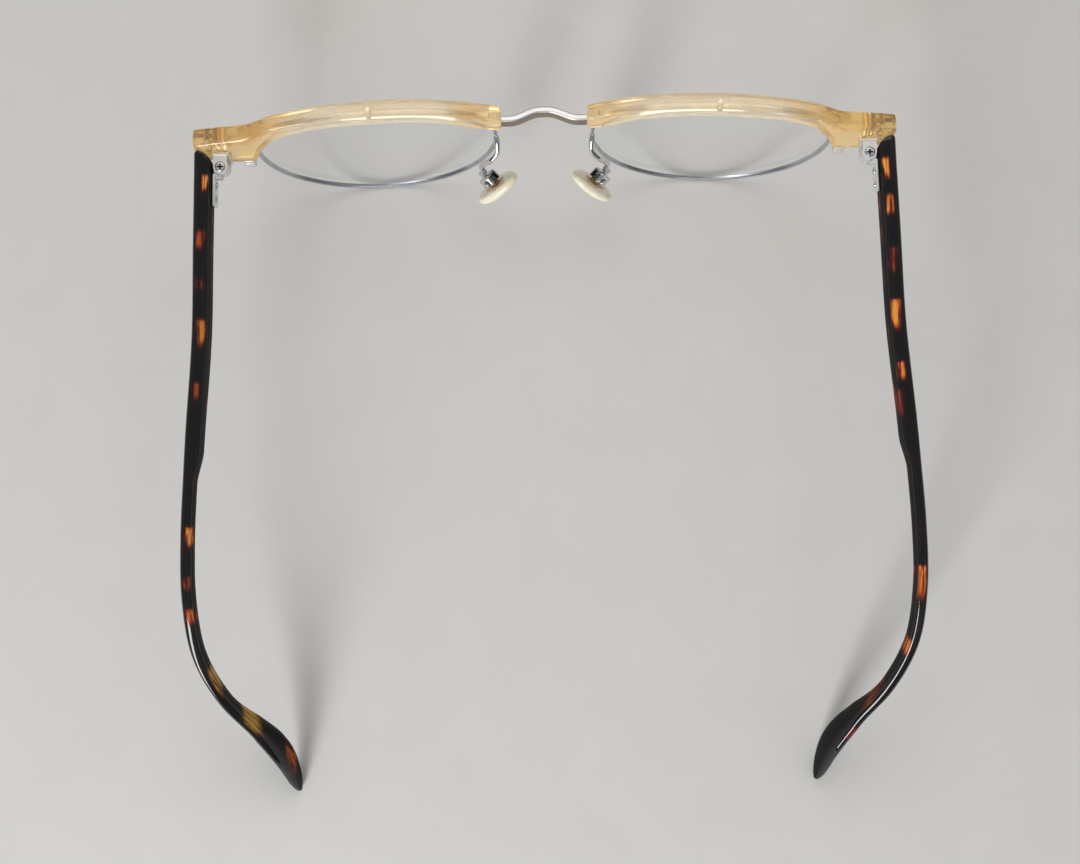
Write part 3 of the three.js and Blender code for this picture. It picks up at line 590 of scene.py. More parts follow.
# ---- the lens outline and its curved surface, in the front's own frame
def lens_depth(x, z):
    u, v = x - LENS_X, z - LENS_MIDDLE_Z
    return ((LENS_HEIGHT / 2) ** 2 - u * u - v * v) / (2 * BASE_RADIUS) - u * math.tan(WRAP)


def on_lens(u, v, depth):
    x, z = LENS_X + u, WIDEST_Z + v
    return Vector((x, lens_depth(x, z) + depth, z))


def outline_point(angle, outwards=0.0, depth=0.0, scale=1.0):
    """A point on the lens outline, moved outwards along the outline's normal."""
    c, s = math.cos(angle), math.sin(angle)
    power = LENS_POWER_ABOVE if s >= 0 else LENS_POWER_BELOW
    half, height = LENS_WIDTH / 2, LENS_ABOVE_WIDEST if s >= 0 else LENS_BELOW_WIDEST
    reach = (abs(c / half) ** power + abs(s / height) ** power) ** (-1 / power)
    u, v = reach * c, reach * s
    normal = Vector((math.copysign(abs(u / half) ** (power - 1) / half, c),
                     math.copysign(abs(v / height) ** (power - 1) / height, s))).normalized()
    return on_lens(u * scale + normal.x * outwards, v * scale + normal.y * outwards, depth)


OUTLINE_STEPS = 180
EYEWIRE_SECTIONS = 200
OUTLINE_ANGLES = [2 * math.pi * i / OUTLINE_STEPS for i in range(OUTLINE_STEPS)]
LENS_RINGS = (0.06, 0.2, 0.4, 0.6, 0.8, 0.93)  # shares of the outline
LENS_RIM_INSET = 0.2  # the faces end this far inside the outline
LENS_RIM_EASE = 0.06


def lens_mesh():
    half = LENS_HALF_THICK
    inset, eased = -LENS_RIM_INSET, half - LENS_RIM_EASE
    rim = [(inset, -half), (inset / 2, -eased), (LENS_BEVEL, 0), (inset / 2, eased), (inset, half)]
    rings = [[outline_point(a, 0, -half, scale) for a in OUTLINE_ANGLES] for scale in LENS_RINGS]
    rings += [[outline_point(a, outwards, depth) for a in OUTLINE_ANGLES] for outwards, depth in rim]
    rings += [[outline_point(a, 0, half, scale) for a in OUTLINE_ANGLES] for scale in reversed(LENS_RINGS)]
    return placed(loft(rings), FRONT)


def eyewire_mesh():
    half, outer = EYEWIRE_HALF_DEPTH, FIT + EYEWIRE_RADIAL
    inner_round, outer_round, groove_round = 0.08, 0.32, 0.05
    section = rounded(
        [(FIT, -half), (outer, -half), (outer, half), (FIT, half), (FIT + GROOVE, 0)],
        [inner_round, outer_round, outer_round, inner_round, groove_round],
    )
    gap = CLEARANCE / LENS_WIDTH
    angles = steps(gap, 2 * math.pi - gap, EYEWIRE_SECTIONS)
    return placed(loft([[outline_point(a, out, depth) for out, depth in section] for a in angles]), FRONT)


# ---- brow and end piece
def lens_top(x):
    across = min(1.0, abs(x - LENS_X) / (LENS_WIDTH / 2))
    return WIDEST_Z + LENS_ABOVE_WIDEST * (1 - across ** LENS_POWER_ABOVE) ** (1 / LENS_POWER_ABOVE)


def brow_top(x):
    """A smooth line through the points of BROW_TOP."""
    i = max(j for j in range(len(BROW_TOP) - 1) if BROW_TOP[j][0] <= x + 1e-9)
    (x0, z0), (x1, z1) = BROW_TOP[i], BROW_TOP[i + 1]

    def slope(j):
        before, after = BROW_TOP[max(0, j - 1)], BROW_TOP[min(len(BROW_TOP) - 1, j + 1)]
        return (after[1] - before[1]) / (after[0] - before[0])

    t, span = (x - x0) / (x1 - x0), x1 - x0
    return (z0 * (1 + 2 * t) * (1 - t) ** 2 + slope(i) * span * t * (1 - t) ** 2
            + z1 * t * t * (3 - 2 * t) + slope(i + 1) * span * t * t * (t - 1))


def brow_bottom(x):
    lowest = NASAL_BOTTOM if x < LENS_X else END_PIECE_BOTTOM
    edge = lens_top(x) - BROW_LIP
    blended = (lowest + edge + math.hypot(lowest - edge, BROW_BOTTOM_BLEND)) / 2
    return blended + END_PIECE_RISE * smooth(x, END_PIECE_RISE_FROM, END_X)


def brow_faces(x):
    surface = lens_depth(x, LENS_MIDDLE_Z + LENS_HEIGHT / 2)
    end = smooth(x, END_PIECE_FROM, END_PIECE_TO)
    return mix(surface + BROW_FRONT, END_PIECE_FRONT, end), mix(surface - BROW_REAR, END_PIECE_REAR, end)


def brow_ring(x, shrink=0.0):
    front, rear = brow_faces(x)
    bottom, top = brow_bottom(x), brow_top(x) - BROW_TOP_INSIDE
    section = superellipse((front - rear) / 2 - shrink, (top - bottom) / 2 - shrink, BROW_POWER,
                           BROW_POINTS)
    return [Vector((x, (front + rear) / 2 + a, (bottom + top) / 2 + b)) for a, b in section]


PLAQUE = {
    "x": 65.3, "z": 34, "half_length": 1.8, "half_height": 1.05, "pin": 0.45, "pin_at": 0.9, "pin_deep": 1.6,
    "layers": [(0, 0.95), (0.1, 1), (0.34, 1), (0.44, 0.97), (0.5, 0.9)],  # height of each, and its size
}
BROW_SCREW_X = 34.2
BROW_SCREW_RADIUS = 0.42
BROW_SCREW_LENGTH = 2.0
THREAD_DEEP = 0.07
THREAD_HALF_TURNS = 24
RIVET_X = 62.9
RIVET_Z = {"lower": 31.8, "upper": 35.0}
RIVET_RADIUS = 0.5
CHANNEL_SIDE = 0.22
CHANNEL_INNER = -3.0


def plaque_pins():
    for side in (-1, 1):
        x = PLAQUE["x"] + side * PLAQUE["pin_at"]
        yield (Vector((x, END_PIECE_FRONT - PLAQUE["pin_deep"], PLAQUE["z"])),
               Vector((x, END_PIECE_FRONT + 2 * FIT, PLAQUE["z"])))


def brow_mesh():
    nasal_round, end_round = BROW_NASAL_ROUND, BROW_END_ROUND
    quarter = steps(0, math.pi / 2, 6)[:-1]
    rings = [brow_ring(BROW_NASAL + nasal_round * (1 - math.cos(q)), nasal_round * (1 - math.sin(q)))
             for q in quarter]
    rings += [brow_ring(x) for x in steps(BROW_NASAL + nasal_round, END_X - end_round, BROW_SECTIONS)]
    rings += [brow_ring(END_X - end_round * (1 - math.cos(q)), end_round * (1 - math.sin(q)))
              for q in reversed(quarter)]
    half, outer = LENS_HALF_THICK + CHANNEL_SIDE, FIT + EYEWIRE_RADIAL + CLEARANCE
    section = [(CHANNEL_INNER, -half), (outer, -half), (outer, half), (CHANNEL_INNER, half)]
    around = [[outline_point(a, out, depth) for out, depth in section] for a in OUTLINE_ANGLES]
    channel = loft(around, loop=True)
    rear, ahead = END_PIECE_REAR - OVER, END_PIECE_FRONT + OVER
    holes = [bar((RIVET_X, rear, z), (RIVET_X, ahead, z), RIVET_RADIUS + HOLE_FIT) for z in RIVET_Z.values()]
    holes += [bar(low - Vector((0, HOLE_DEEPER, 0)), high + Vector((0, OVER, 0)), PLAQUE["pin"] + HOLE_FIT)
              for low, high in plaque_pins()]
    low, high = brow_screw_ends()
    holes.append(bar(low, high + Vector((0, 0, HOLE_DEEPER)), BROW_SCREW_RADIUS + HOLE_FIT))
    return placed(cut(loft(rings), channel, *holes), FRONT)


def brow_screw_ends():
    z = lens_top(BROW_SCREW_X) + FIT + EYEWIRE_RADIAL + FIT
    y = lens_depth(BROW_SCREW_X, z)
    return Vector((BROW_SCREW_X, y, z)), Vector((BROW_SCREW_X, y, z + BROW_SCREW_LENGTH))


def brow_screw_mesh():
    """A threaded shank: a ridge for every turn."""
    low, high = brow_screw_ends()
    profile = [(t, BROW_SCREW_RADIUS - THREAD_DEEP * (i % 2))
               for i, t in enumerate(steps(0, BROW_SCREW_LENGTH, THREAD_HALF_TURNS))]
    return placed(turned(low, high - low, profile, 24), FRONT)


def plaque_mesh():
    a, b = PLAQUE["half_length"], PLAQUE["half_height"]
    angles = steps(-math.pi / 2, math.pi / 2, 14)
    outline = [(a - b + math.cos(t) * b, math.sin(t) * b) for t in angles]
    outline += [(-x, -z) for x, z in outline]
    y = END_PIECE_FRONT + FIT
    plate = loft([
        [Vector((PLAQUE["x"] + x * size, y + depth, PLAQUE["z"] + z * size)) for x, z in outline]
        for depth, size in PLAQUE["layers"]
    ])
    pins = [bar(low, high, PLAQUE["pin"], 24) for low, high in plaque_pins()]
    return placed(join(plate, *pins), FRONT)


def hinge_rivet_mesh(z):
    y0, y1 = END_PIECE_REAR + FIT, END_PIECE_FRONT
    edge, length = 0.1, y1 - y0
    profile = [(0, RIVET_RADIUS - edge), (edge, RIVET_RADIUS), (length - edge, RIVET_RADIUS),
               (length, RIVET_RADIUS - edge)]
    return placed(turned((RIVET_X, y0, z), (0, 1, 0), profile, 32), FRONT)


# ---- closing block and its screw
BLOCK_X = LENS_X + LENS_WIDTH / 2 + EYEWIRE_RADIAL + 2 * FIT
BLOCK_WIDTH = 2.0
BLOCK_REAR, BLOCK_FRONT = -4.6, -1.1
BLOCK_ABOVE, BLOCK_BELOW = 1.1, 2.2
BLOCK_ROUND = 0.22
BLOCK_SCREW_AT = Vector((BLOCK_X + BLOCK_WIDTH / 2, -3.5, 0))
BLOCK_SCREW = {
    "radius": 0.45, "head": 0.85, "head_height": 0.4, "slot_half": 0.14, "slot_deep": 0.2,
    "dome": [(0.12, 1), (0.04, 0.9), (0, 0.72)],  # down from the top, and share of the head's radius
}


def closing_block_mesh(z0, z1):
    body = block(BLOCK_X, BLOCK_X + BLOCK_WIDTH, BLOCK_REAR, BLOCK_FRONT, z0, z1)
    low, high = (BLOCK_SCREW_AT + Vector((0, 0, z)) for z in (z0 - OVER, z1 + OVER))
    hole = bar(low, high, BLOCK_SCREW["radius"] + FIT, 32)
    return placed(cut(softened(body, BLOCK_ROUND, 3), hole), FRONT)


def closing_screw_mesh(z0, z1):
    """A shank with a low domed head and one straight slot."""
    radius, head = BLOCK_SCREW["radius"], BLOCK_SCREW["head"]
    length, at = z1 - z0, BLOCK_SCREW_AT
    seat = length - BLOCK_SCREW["head_height"]
    profile = [(0, radius * 0.8), (0.15, radius), (seat, radius), (seat, head)]
    profile += [(length - down, head * share) for down, share in BLOCK_SCREW["dome"]]
    half = BLOCK_SCREW["slot_half"]
    slot = block(at.x - 2 * head, at.x + 2 * head, at.y - half, at.y + half, z1 - BLOCK_SCREW["slot_deep"],
                 z1 + OVER)
    return placed(cut(turned(at + Vector((0, 0, z0)), (0, 0, 1), profile), slot), FRONT)


# ---- bridge
BRIDGE = {"end": 9.5, "z0": 31.4, "z1": 34.2, "half_thick": 0.7, "round": 0.42, "ends": 0.6, "arch": 1.8,
          "arch_top": 0.8, "arch_from": 6.8, "sections": 90}


def bridge_mesh():
    """A strip on edge, arched forwards in the middle."""
    half, z0, z1 = BRIDGE["half_thick"], BRIDGE["z0"], BRIDGE["z1"]
    section = rounded([(-half, z0), (half, z0), (half, z1), (-half, z1)], [BRIDGE["round"]] * 4, 5)

    def centre(x):
        return BRIDGE["ends"] + BRIDGE["arch"] * (1 - smooth(abs(x), BRIDGE["arch_top"], BRIDGE["arch_from"]))

    rings, near = [], 0.05
    for x in steps(-BRIDGE["end"], BRIDGE["end"], BRIDGE["sections"]):
        along = Vector((2 * near, centre(x + near) - centre(x - near))).normalized()
        rings.append([Vector((x - a * along.y, centre(x) + a * along.x, z)) for a, z in section])
    return placed(loft(rings), FRONT)


# ---- nose pad, its stem, box, screw and arm
PAD_WIDTH = 7.4
PAD_HEIGHT = 12.6
PAD_THICK = 2.4
PAD_CENTRE = Vector((9.5, -7, 15.8))
PAD_SPLAY = math.radians(38)
PAD_LEAN = math.radians(34)
PAD_FULLER = 0.1  # share by which the lower end is wider than the middle
PAD_WIDEST = -0.2  # distance out of the widest level
PAD_BACK_EDGE = 0.82  # share of the full oval that the flat back has
PAD_POINTS = 56
PAD_SCREW_BEHIND = 2.55
PAD_SCREW = {
    "radius": 0.35, "head": 0.75, "head_height": 0.4, "slot_half": 0.12, "slot_deep": 0.15,
    "dome": [(0.16, 1), (0.06, 0.88), (0, 0.66)],
}
PAD_STEM = {"side": 0.75, "radius": 0.95, "plate_side": 1.35, "plate_half": 2, "out": 0.15, "in": 0.65}
PAD_BOX = {"side": 1.55, "wall": 0.55, "height": 1.6, "front": -1.65, "back": -4.0, "back_wall": 0.5}
ARM_RADIUS = 0.58
ARM_FOOT = 0.4  # the arm runs down the back of the pad box from here
ARM_TAIL = -1.2
ARM_LEAN = 0.1  # and away from it
ARM_END = 0.3  # share of the radius left at the very ends
ARM_POINTS, ARM_SECTIONS = 20, 90
ARM_ROUTE = [(9.7, -1.1, 30.2), (9.5, -2.6, 29.5), (9.6, -4, 27.6), (10.9, -4.8, 25.8), (12.2, -4.8, 24),
             (12.9, -4.5, 21.3)]


def pad_frame():
    """The pad's own axes: wide across it, out towards the nose and up along its length."""
    up = Vector((-math.sin(PAD_LEAN), 0, math.cos(PAD_LEAN)))
    wide = Vector((math.sin(PAD_SPLAY), -math.cos(PAD_SPLAY), 0))
    wide = (wide - up * wide.dot(up)).normalized()
    out = wide.cross(up)
    return Matrix.Translation(PAD_CENTRE) @ Matrix((wide, out, up)).transposed().to_4x4()


PAD_FRAME = pad_frame()
PAD = FRONT @ PAD_FRAME


def pad_mesh():
    """An oval cushion with a flat back and a domed face."""
    back, face = -PAD_THICK / 2, PAD_THICK / 2
    profile = [(back, 0.3), (back, 0.6), (back, PAD_BACK_EDGE)]
    for t in steps(0.2, math.pi / 2, 7):
        profile.append((mix(back, PAD_WIDEST, 1 - math.cos(t)), mix(PAD_BACK_EDGE, 1, math.sin(t))))
    for t in steps(0.12, 1.47, 12):
        profile.append((mix(PAD_WIDEST, face, math.sin(t)), math.cos(t) ** 0.8))
    oval = []
    for i in range(PAD_POINTS):
        angle = 2 * math.pi * i / PAD_POINTS
        half_width = PAD_WIDTH / 2 * (1 - PAD_FULLER * math.sin(angle))
        oval.append((half_width * math.cos(angle), PAD_HEIGHT / 2 * math.sin(angle)))
    return placed(loft([[Vector((x * scale, y, z * scale)) for x, z in oval] for y, scale in profile]), PAD)


def pad_screw_hole():
    past = PAD_BOX["side"] + OVER
    return bar((-past, -PAD_SCREW_BEHIND, 0), (past, -PAD_SCREW_BEHIND, 0), PAD_SCREW["radius"] + FIT, 32)


def pad_stem_mesh():
    """A plate set into the pad's back, a neck, and an eye for the screw."""
    back, side, radius = -PAD_THICK / 2, PAD_STEM["side"], PAD_STEM["radius"]
    plate_side, plate_half = PAD_STEM["plate_side"], PAD_STEM["plate_half"]
    plate = block(-plate_side, plate_side, back - PAD_STEM["out"], back + PAD_STEM["in"],
                  -plate_half, plate_half)
    neck = block(-side, side, -PAD_SCREW_BEHIND, back + 0.2, -radius, radius)
    eye = bar((-side, -PAD_SCREW_BEHIND, 0), (side, -PAD_SCREW_BEHIND, 0), radius)
    return placed(softened(cut(join(plate, neck, eye), pad_screw_hole()), 0.08), PAD)


def pad_box_mesh():
    """A rounded channel that the stem rocks in."""
    side, height, back = PAD_BOX["side"], PAD_BOX["height"], PAD_BOX["back"]
    inside = side - PAD_BOX["wall"]
    outer = softened(block(-side, side, back, PAD_BOX["front"], -height, height), 0.45, 4)
    inner = block(-inside, inside, back + PAD_BOX["back_wall"], 0, -height - OVER, height + OVER)
    return placed(cut(outer, inner, pad_screw_hole()), PAD)


def pad_screw_mesh():
    """A shank across the box with a domed, slotted head."""
    radius, head, half = PAD_SCREW["radius"], PAD_SCREW["head"], PAD_SCREW["slot_half"]
    top = PAD_BOX["side"] + FIT + PAD_SCREW["head_height"]
    length = top + PAD_BOX["side"]
    seat = length - PAD_SCREW["head_height"]
    profile = [(0, radius), (seat, radius), (seat, head)]
    profile += [(length - down, head * share) for down, share in PAD_SCREW["dome"]]
    y0, y1 = -PAD_SCREW_BEHIND - half, half - PAD_SCREW_BEHIND
    slot = block(top - PAD_SCREW["slot_deep"], top + OVER, y0, y1, -OVER, OVER)
    return placed(cut(turned((-PAD_BOX["side"], -PAD_SCREW_BEHIND, 0), (1, 0, 0), profile), slot), PAD)


def pad_arm_mesh():
    """A round wire with rounded ends, from the eyewire to the back of the pad box."""
    behind = PAD_BOX["back"] - FIT - ARM_RADIUS
    ends = [PAD_FRAME @ Vector((0, behind, ARM_FOOT)), PAD_FRAME @ Vector((0, behind - ARM_LEAN, ARM_TAIL))]
    route = Route([*ARM_ROUTE, *ends])
    rings, across = [], Vector((1, 0, 0))
    for s in steps(0, route.length, ARM_SECTIONS):
        along = route.direction(s)
        across = (across - along * across.dot(along)).normalized()
        other = along.cross(across)
        end = min(s, route.length - s) / ARM_RADIUS
        radius = ARM_RADIUS * (math.sqrt(1 - (1 - end) ** 2) if end < 1 else 1.0)
        radius = max(radius, ARM_END * ARM_RADIUS)
        rings.append([
            route.point(s) + (across * math.cos(a) + other * math.sin(a)) * radius
            for a in (2 * math.pi * i / ARM_POINTS for i in range(ARM_POINTS))
        ])
    return placed(loft(rings), FRONT)


# ---- hinge
FLANGE = {"x0": 62.25, "x1": 65.5, "thick": 0.55, "z0": 30.1, "z1": 35.2}
HINGE_SCREW_RADIUS = 0.5
HINGE_SCREW_HEAD = 0.92
HINGE_SCREW_HEAD_HEIGHT = 0.5
HINGE_SCREW_START = 0.1
HINGE_SCREW_DOME = [(0.09, 1), (0.03, 0.93), (0, 0.8)]  # down from the top, and share of the head's radius
CROSS_LONG, CROSS_HALF, CROSS_DEEP = 0.62, 0.16, 0.36
HINGE_ROUND = 0.09


def hinge_bar(radius, z0, z1):
    return bar((HINGE_X, HINGE_Y, z0), (HINGE_X, HINGE_Y, z1), radius)


def knuckle(level, x0, x1, y0, y1):
    """One knuckle plate: round about the axis, with a tongue out to a box."""
    z0 = HINGE_BOTTOM + level * KNUCKLE_PITCH
    tongue = block(x0, x1, min(y0, y1), max(y0, y1), z0, z0 + KNUCKLE_HEIGHT)
    return join(hinge_bar(KNUCKLE_RADIUS, z0, z0 + KNUCKLE_HEIGHT), tongue)


def flange_middle(z):
    """How far ahead the middle plane of the flange is at a height above the table."""
    depth = END_PIECE_REAR - FIT - FLANGE["thick"] / 2
    up = (z + depth * math.sin(TILT)) / math.cos(TILT)
    return FRONT_FOOT + depth * math.cos(TILT) + up * math.sin(TILT)


def front_hinge_mesh():
    rear = END_PIECE_REAR - FIT
    leaning = Matrix.Translation((0, FRONT_FOOT, 0)) @ Matrix.Rotation(-TILT, 4, "X")
    flange = block(FLANGE["x0"], FLANGE["x1"], rear - FLANGE["thick"], rear, FLANGE["z0"], FLANGE["z1"])
    plates = []
    for level in (0, 2, 4):
        middle = HINGE_BOTTOM + level * KNUCKLE_PITCH + KNUCKLE_HEIGHT / 2
        plates.append(knuckle(level, HINGE_X - KNUCKLE_RADIUS, HINGE_X + KNUCKLE_RADIUS, HINGE_Y,
                              flange_middle(middle)))
    solid = softened(join(placed(flange, leaning), *plates), HINGE_ROUND)
    bore = hinge_bar(HINGE_SCREW_RADIUS + FIT, HINGE_BOTTOM - OVER, HINGE_TOP + OVER)
    sink = hinge_bar(HINGE_SCREW_HEAD + FIT, HINGE_TOP - HINGE_SCREW_HEAD_HEIGHT, HINGE_TOP + OVER)
    return placed(cut(solid, bore, sink), TABLE)


def hinge_screw_mesh():
    top, head = HINGE_SCREW_TOP, HINGE_SCREW_HEAD
    start = HINGE_BOTTOM + HINGE_SCREW_START
    seat = top - HINGE_SCREW_HEAD_HEIGHT + FIT - start
    profile = [(0, 0.4), (0.1, HINGE_SCREW_RADIUS), (seat, HINGE_SCREW_RADIUS), (seat, head)]
    profile += [(top - start - down, head * share) for down, share in HINGE_SCREW_DOME]
    screw = turned((HINGE_X, HINGE_Y, start), (0, 0, 1), profile, 48)
    cross = [block(HINGE_X - a, HINGE_X + a, HINGE_Y - b, HINGE_Y + b, top - CROSS_DEEP, top + OVER)
             for a, b in ((CROSS_LONG, CROSS_HALF), (CROSS_HALF, CROSS_LONG))]
    return placed(cut(screw, *cross), TABLE)


# ---- temple, its hinge leaf and rivets
TEMPLE_FRONT = Vector((67.3, 55.9, 33.7))
TEMPLE_SECOND = Vector((67.9, 37.95, 34.2))
TEMPLE_ROUTE = Route([
    TEMPLE_FRONT, TEMPLE_SECOND, (68.5, 20, 34.7), (70.2, 0, 35.2), (71.6, -20, 35.3),
    (71.8, -32, 34.2), (70.9, -43, 30), (67.2, -53, 23.2), (62, -60.6, 15.8), (57.9, -67.8, 8.3),
    (55.6, -76.3, 0.66),
])
TEMPLE_LENGTH = TEMPLE_ROUTE.length
TEMPLE_YAW = math.atan2(TEMPLE_SECOND.x - TEMPLE_FRONT.x, TEMPLE_FRONT.y - TEMPLE_SECOND.y)
TAPER_FROM, TAPER_TO = 5, 75
STEP_FROM, STEP_TO = 58, 65
TIP_FROM, TIP_TO = 112, 134
TIP_ROUND = 18.0
TIP_POWER = 1.9
TIP_ROLL = math.radians(9)
FRONT_CORNER_CUT = 1.4
FRONT_TRIM = 4.0  # the slanted front end is evened out over this length
FRONT_ROUND = 0.35
TEMPLE_POINTS, TEMPLE_SECTIONS, TIP_SECTIONS = 44, 230, 28
FRONT_POWER, STEM_POWER, TIP_SECTION_POWER = 4.2, 3.0, 2.5  # squareness of the section
TIP_LEAST_THICK, TIP_LEAST_HIGH = 0.12, 0.05  # shares left at the very point
CHANNEL_HALF_WIDTH, CHANNEL_HALF_HEIGHT, CHANNEL_POWER = 0.55, 0.8, 4.0
CORE_FROM = 3.0


def temple_thickness(s):
    stem = mix(TEMPLE_THICK, TEMPLE_THIN, smooth(s, STEP_FROM, STEP_TO))
    return mix(stem, TEMPLE_TIP_THICK, smooth(s, TIP_FROM, TIP_TO))


def temple_height(s):
    stem = mix(TEMPLE_FRONT_HEIGHT, TEMPLE_MIDDLE_HEIGHT, smooth(s, TAPER_FROM, TAPER_TO))
    return mix(stem, TEMPLE_TIP_HEIGHT, smooth(s, TIP_FROM, TIP_TO))


def temple_ring(s, half_a, half_b, offset, power):
    """One section as points, and the same points as across, up and along for the colour's grain."""
    along = TEMPLE_ROUTE.direction(s)
    side = Vector((-along.y, along.x, 0)).normalized()
    side.rotate(Matrix.Rotation(-TIP_ROLL * smooth(s, TIP_FROM, TIP_TO), 3, along))
    up = along.cross(side)
    trim = max(0.0, 1 - s / FRONT_TRIM)
    points, grain = [], []
    for a, b in superellipse(half_a, half_b, power, TEMPLE_POINTS):
        point = TEMPLE_ROUTE.point(s) + side * (a + offset) + up * b
        lead = b * math.tan(TILT) + FRONT_CORNER_CUT * min(0, a / (TEMPLE_THICK / 2))
        points.append(point + Vector((0, lead * trim, 0)))
        grain.append((a + offset, b, s - lead * trim))
    return points, grain


def temple_section(s, shrink=0.0):
    to_end = max(0.0, (s - (TEMPLE_LENGTH - TIP_ROUND)) / TIP_ROUND)
    end = math.sqrt(max(0.0, 1 - to_end ** TIP_POWER))
    half_width = temple_thickness(s) / 2 * max(TIP_LEAST_THICK, end) - shrink
    half_height = temple_height(s) / 2 * max(TIP_LEAST_HIGH, end) - shrink
    offset = (TEMPLE_THICK - temple_thickness(s)) / 2
    stem_power = mix(FRONT_POWER, STEM_POWER, smooth(s, STEP_FROM, STEP_TO))
    power = mix(stem_power, TIP_SECTION_POWER, smooth(s, TIP_FROM, TIP_TO))
    return temple_ring(s, half_width, half_height, offset, power)


# Warm blotches seen on the top of each temple: where one starts and ends behind the temple's front,
# how far it is from the middle towards the outside, how bright it is and how olive.
BLOTCHES = {
    "right": [(3.2, 9, -0.5, 1.0, 0), (10.4, 16, -0.4, 1.0, 0), (20.8, 28, -0.2, 0.62, 0),
              (31, 39, -0.4, 0.95, 0), (43.2, 48.5, -0.5, 0.85, 0), (48.5, 56, -1.3, 0.45, 0),
              (83, 92, 0.1, 0.8, 0), (98, 104, -0.8, 0.7, 0.3), (110, 122, -1.3, 0.66, 0.5),
              (123, 129, 0.6, 0.5, 0.2)],
    "left": [(3.6, 8.4, -0.6, 0.9, 0), (14.4, 20, 0.1, 0.6, 0), (23.6, 27.6, 0.3, 0.45, 0),
             (31.6, 39.5, -0.3, 0.72, 0.3), (44.2, 49.4, 0, 0.5, 0), (72.6, 78, -0.2, 1.0, 0),
             (82, 86.4, 0, 0.5, 0), (88.2, 93, 0, 0.72, 0), (101, 112, -0.9, 0.85, 1.0),
             (115, 126, -0.9, 0.85, 1.0), (132, 143, -1.5, 0.6, 0.2)],
}


def glow_at(s, side):
    """How bright, where across and how olive the temple's inside is at a distance behind its front."""
    best = (0.0, 0.0, 0.0)
    for start, end, across, warmth, olive in BLOTCHES[side]:
        rise = smooth(s, start, start + mix(1.0, 3.0, olive))
        fall = 1 - smooth(s, mix(start, end, 0.55), end)
        if warmth * rise * fall > best[0]:
            best = (warmth * rise * fall, across, olive)
        if best[0] == 0 and start - 4 < s < end + 4:
            best = (0.0, across, olive)
    return best


def temple_mesh(side):
    """The acetate, open at the front for its core, with its grain and its glow as attributes."""
    channel = [(s, temple_ring(s, CHANNEL_HALF_WIDTH, CHANNEL_HALF_HEIGHT, 0, CHANNEL_POWER))
               for s in (CORE_FROM, CORE_FROM / 2, 0)]
    edge = FRONT_ROUND
    front = [(0.0, temple_section(edge * (1 - math.cos(q)), edge * (1 - math.sin(q))))
             for q in steps(0, math.pi / 2, 4)[:-1]]
    tip = TEMPLE_LENGTH - TIP_ROUND
    body = [(s, temple_section(s)) for s in steps(edge, tip, TEMPLE_SECTIONS)]
    tips = [tip + TIP_ROUND * math.sin(q) for q in steps(0, math.pi / 2, TIP_SECTIONS)[1:]]
    sections = channel + front + body + [(s, temple_section(s)) for s in tips]
    mesh = loft([points for _, (points, _) in sections])
    grain = mesh.attributes.new("grain", "FLOAT_VECTOR", "POINT")
    grain.data.foreach_set("vector", [v for _, (_, ring) in sections for point in ring for v in point])
    glow = mesh.attributes.new("glow", "FLOAT_VECTOR", "POINT")
    glow.data.foreach_set("vector", [v for s, _ in sections for v in glow_at(s, side) * TEMPLE_POINTS])
    return placed(mesh, TABLE)


LEAF = {"thick": 0.45, "front": -1.3, "rear": -7.6, "z0": 31.0, "z1": 35.0, "tongue": 0.9, "weld_gap": 0.05}
TEMPLE_RIVET = {"radius": 0.4, "head": 0.7, "head_height": 0.35, "deep": 0.75}
TEMPLE_RIVETS = {"front": 3.4, "rear": 6.0}
LEAF_X = TEMPLE_FRONT.x - TEMPLE_THICK / 2 + (TEMPLE_FRONT.y - HINGE_Y) * math.tan(TEMPLE_YAW)
LEAF_FRAME = Matrix.Translation((LEAF_X, HINGE_Y, 0)) @ Matrix.Rotation(TEMPLE_YAW, 4, "Z")


def hinge_leaf_mesh():
    outline = [(-FIT - LEAF["thick"], LEAF["rear"]), (-FIT, LEAF["rear"]), (-FIT, LEAF["front"]),
               (-FIT - LEAF["thick"], LEAF["front"])]
    plate = placed(prism(outline, LEAF["z0"], LEAF["z1"]), LEAF_FRAME)
    inner, rear = LEAF_X - FIT - LEAF["weld_gap"], HINGE_Y + LEAF["front"] - LEAF["tongue"]
    plates = [knuckle(level, HINGE_X, inner, rear, HINGE_Y) for level in (1, 3)]
    solid = softened(join(plate, *plates), HINGE_ROUND)
    bore = hinge_bar(HINGE_SCREW_RADIUS + FIT, HINGE_BOTTOM - OVER, HINGE_TOP + OVER)
    return placed(cut(solid, bore), TABLE)


def temple_rivet_mesh(behind):
    """A domed head on the leaf and a shank into the temple."""
    z = (LEAF["z0"] + LEAF["z1"]) / 2
    face = -FIT - LEAF["thick"] - LEAF["weld_gap"]
    height, head, radius = TEMPLE_RIVET["head_height"], TEMPLE_RIVET["head"], TEMPLE_RIVET["radius"]
    profile = [(face - math.sin(t) * height, math.cos(t) * head) for t in reversed(steps(0, 1.35, 7))]
    profile += [(face, radius), (TEMPLE_RIVET["deep"], radius)]
    return placed(turned((0, -behind, z), (1, 0, 0), profile, 32), TABLE @ LEAF_FRAME)


# ---- all the pieces
TORTOISE = tortoise_acetate()
CHAMPAGNE = clear_acetate()
NICKEL = satin_metal("satin_nickel", (0.5, 0.51, 0.54), (0.6, 0.61, 0.63), 0.24, 0.3)
SILVER = satin_metal("matte_silver", (0.8, 0.795, 0.78), (0.88, 0.875, 0.86), 0.34, 0.42, 0.85)
# the bridge's rear face carries painted shade
STRIP = satin_metal("bridge_silver_painted_rear_shade", (0.76, 0.75, 0.73), (0.83, 0.82, 0.8), 0.34, 0.42, 0.8,
                    rear=(0.3, 0.25, 0.2))
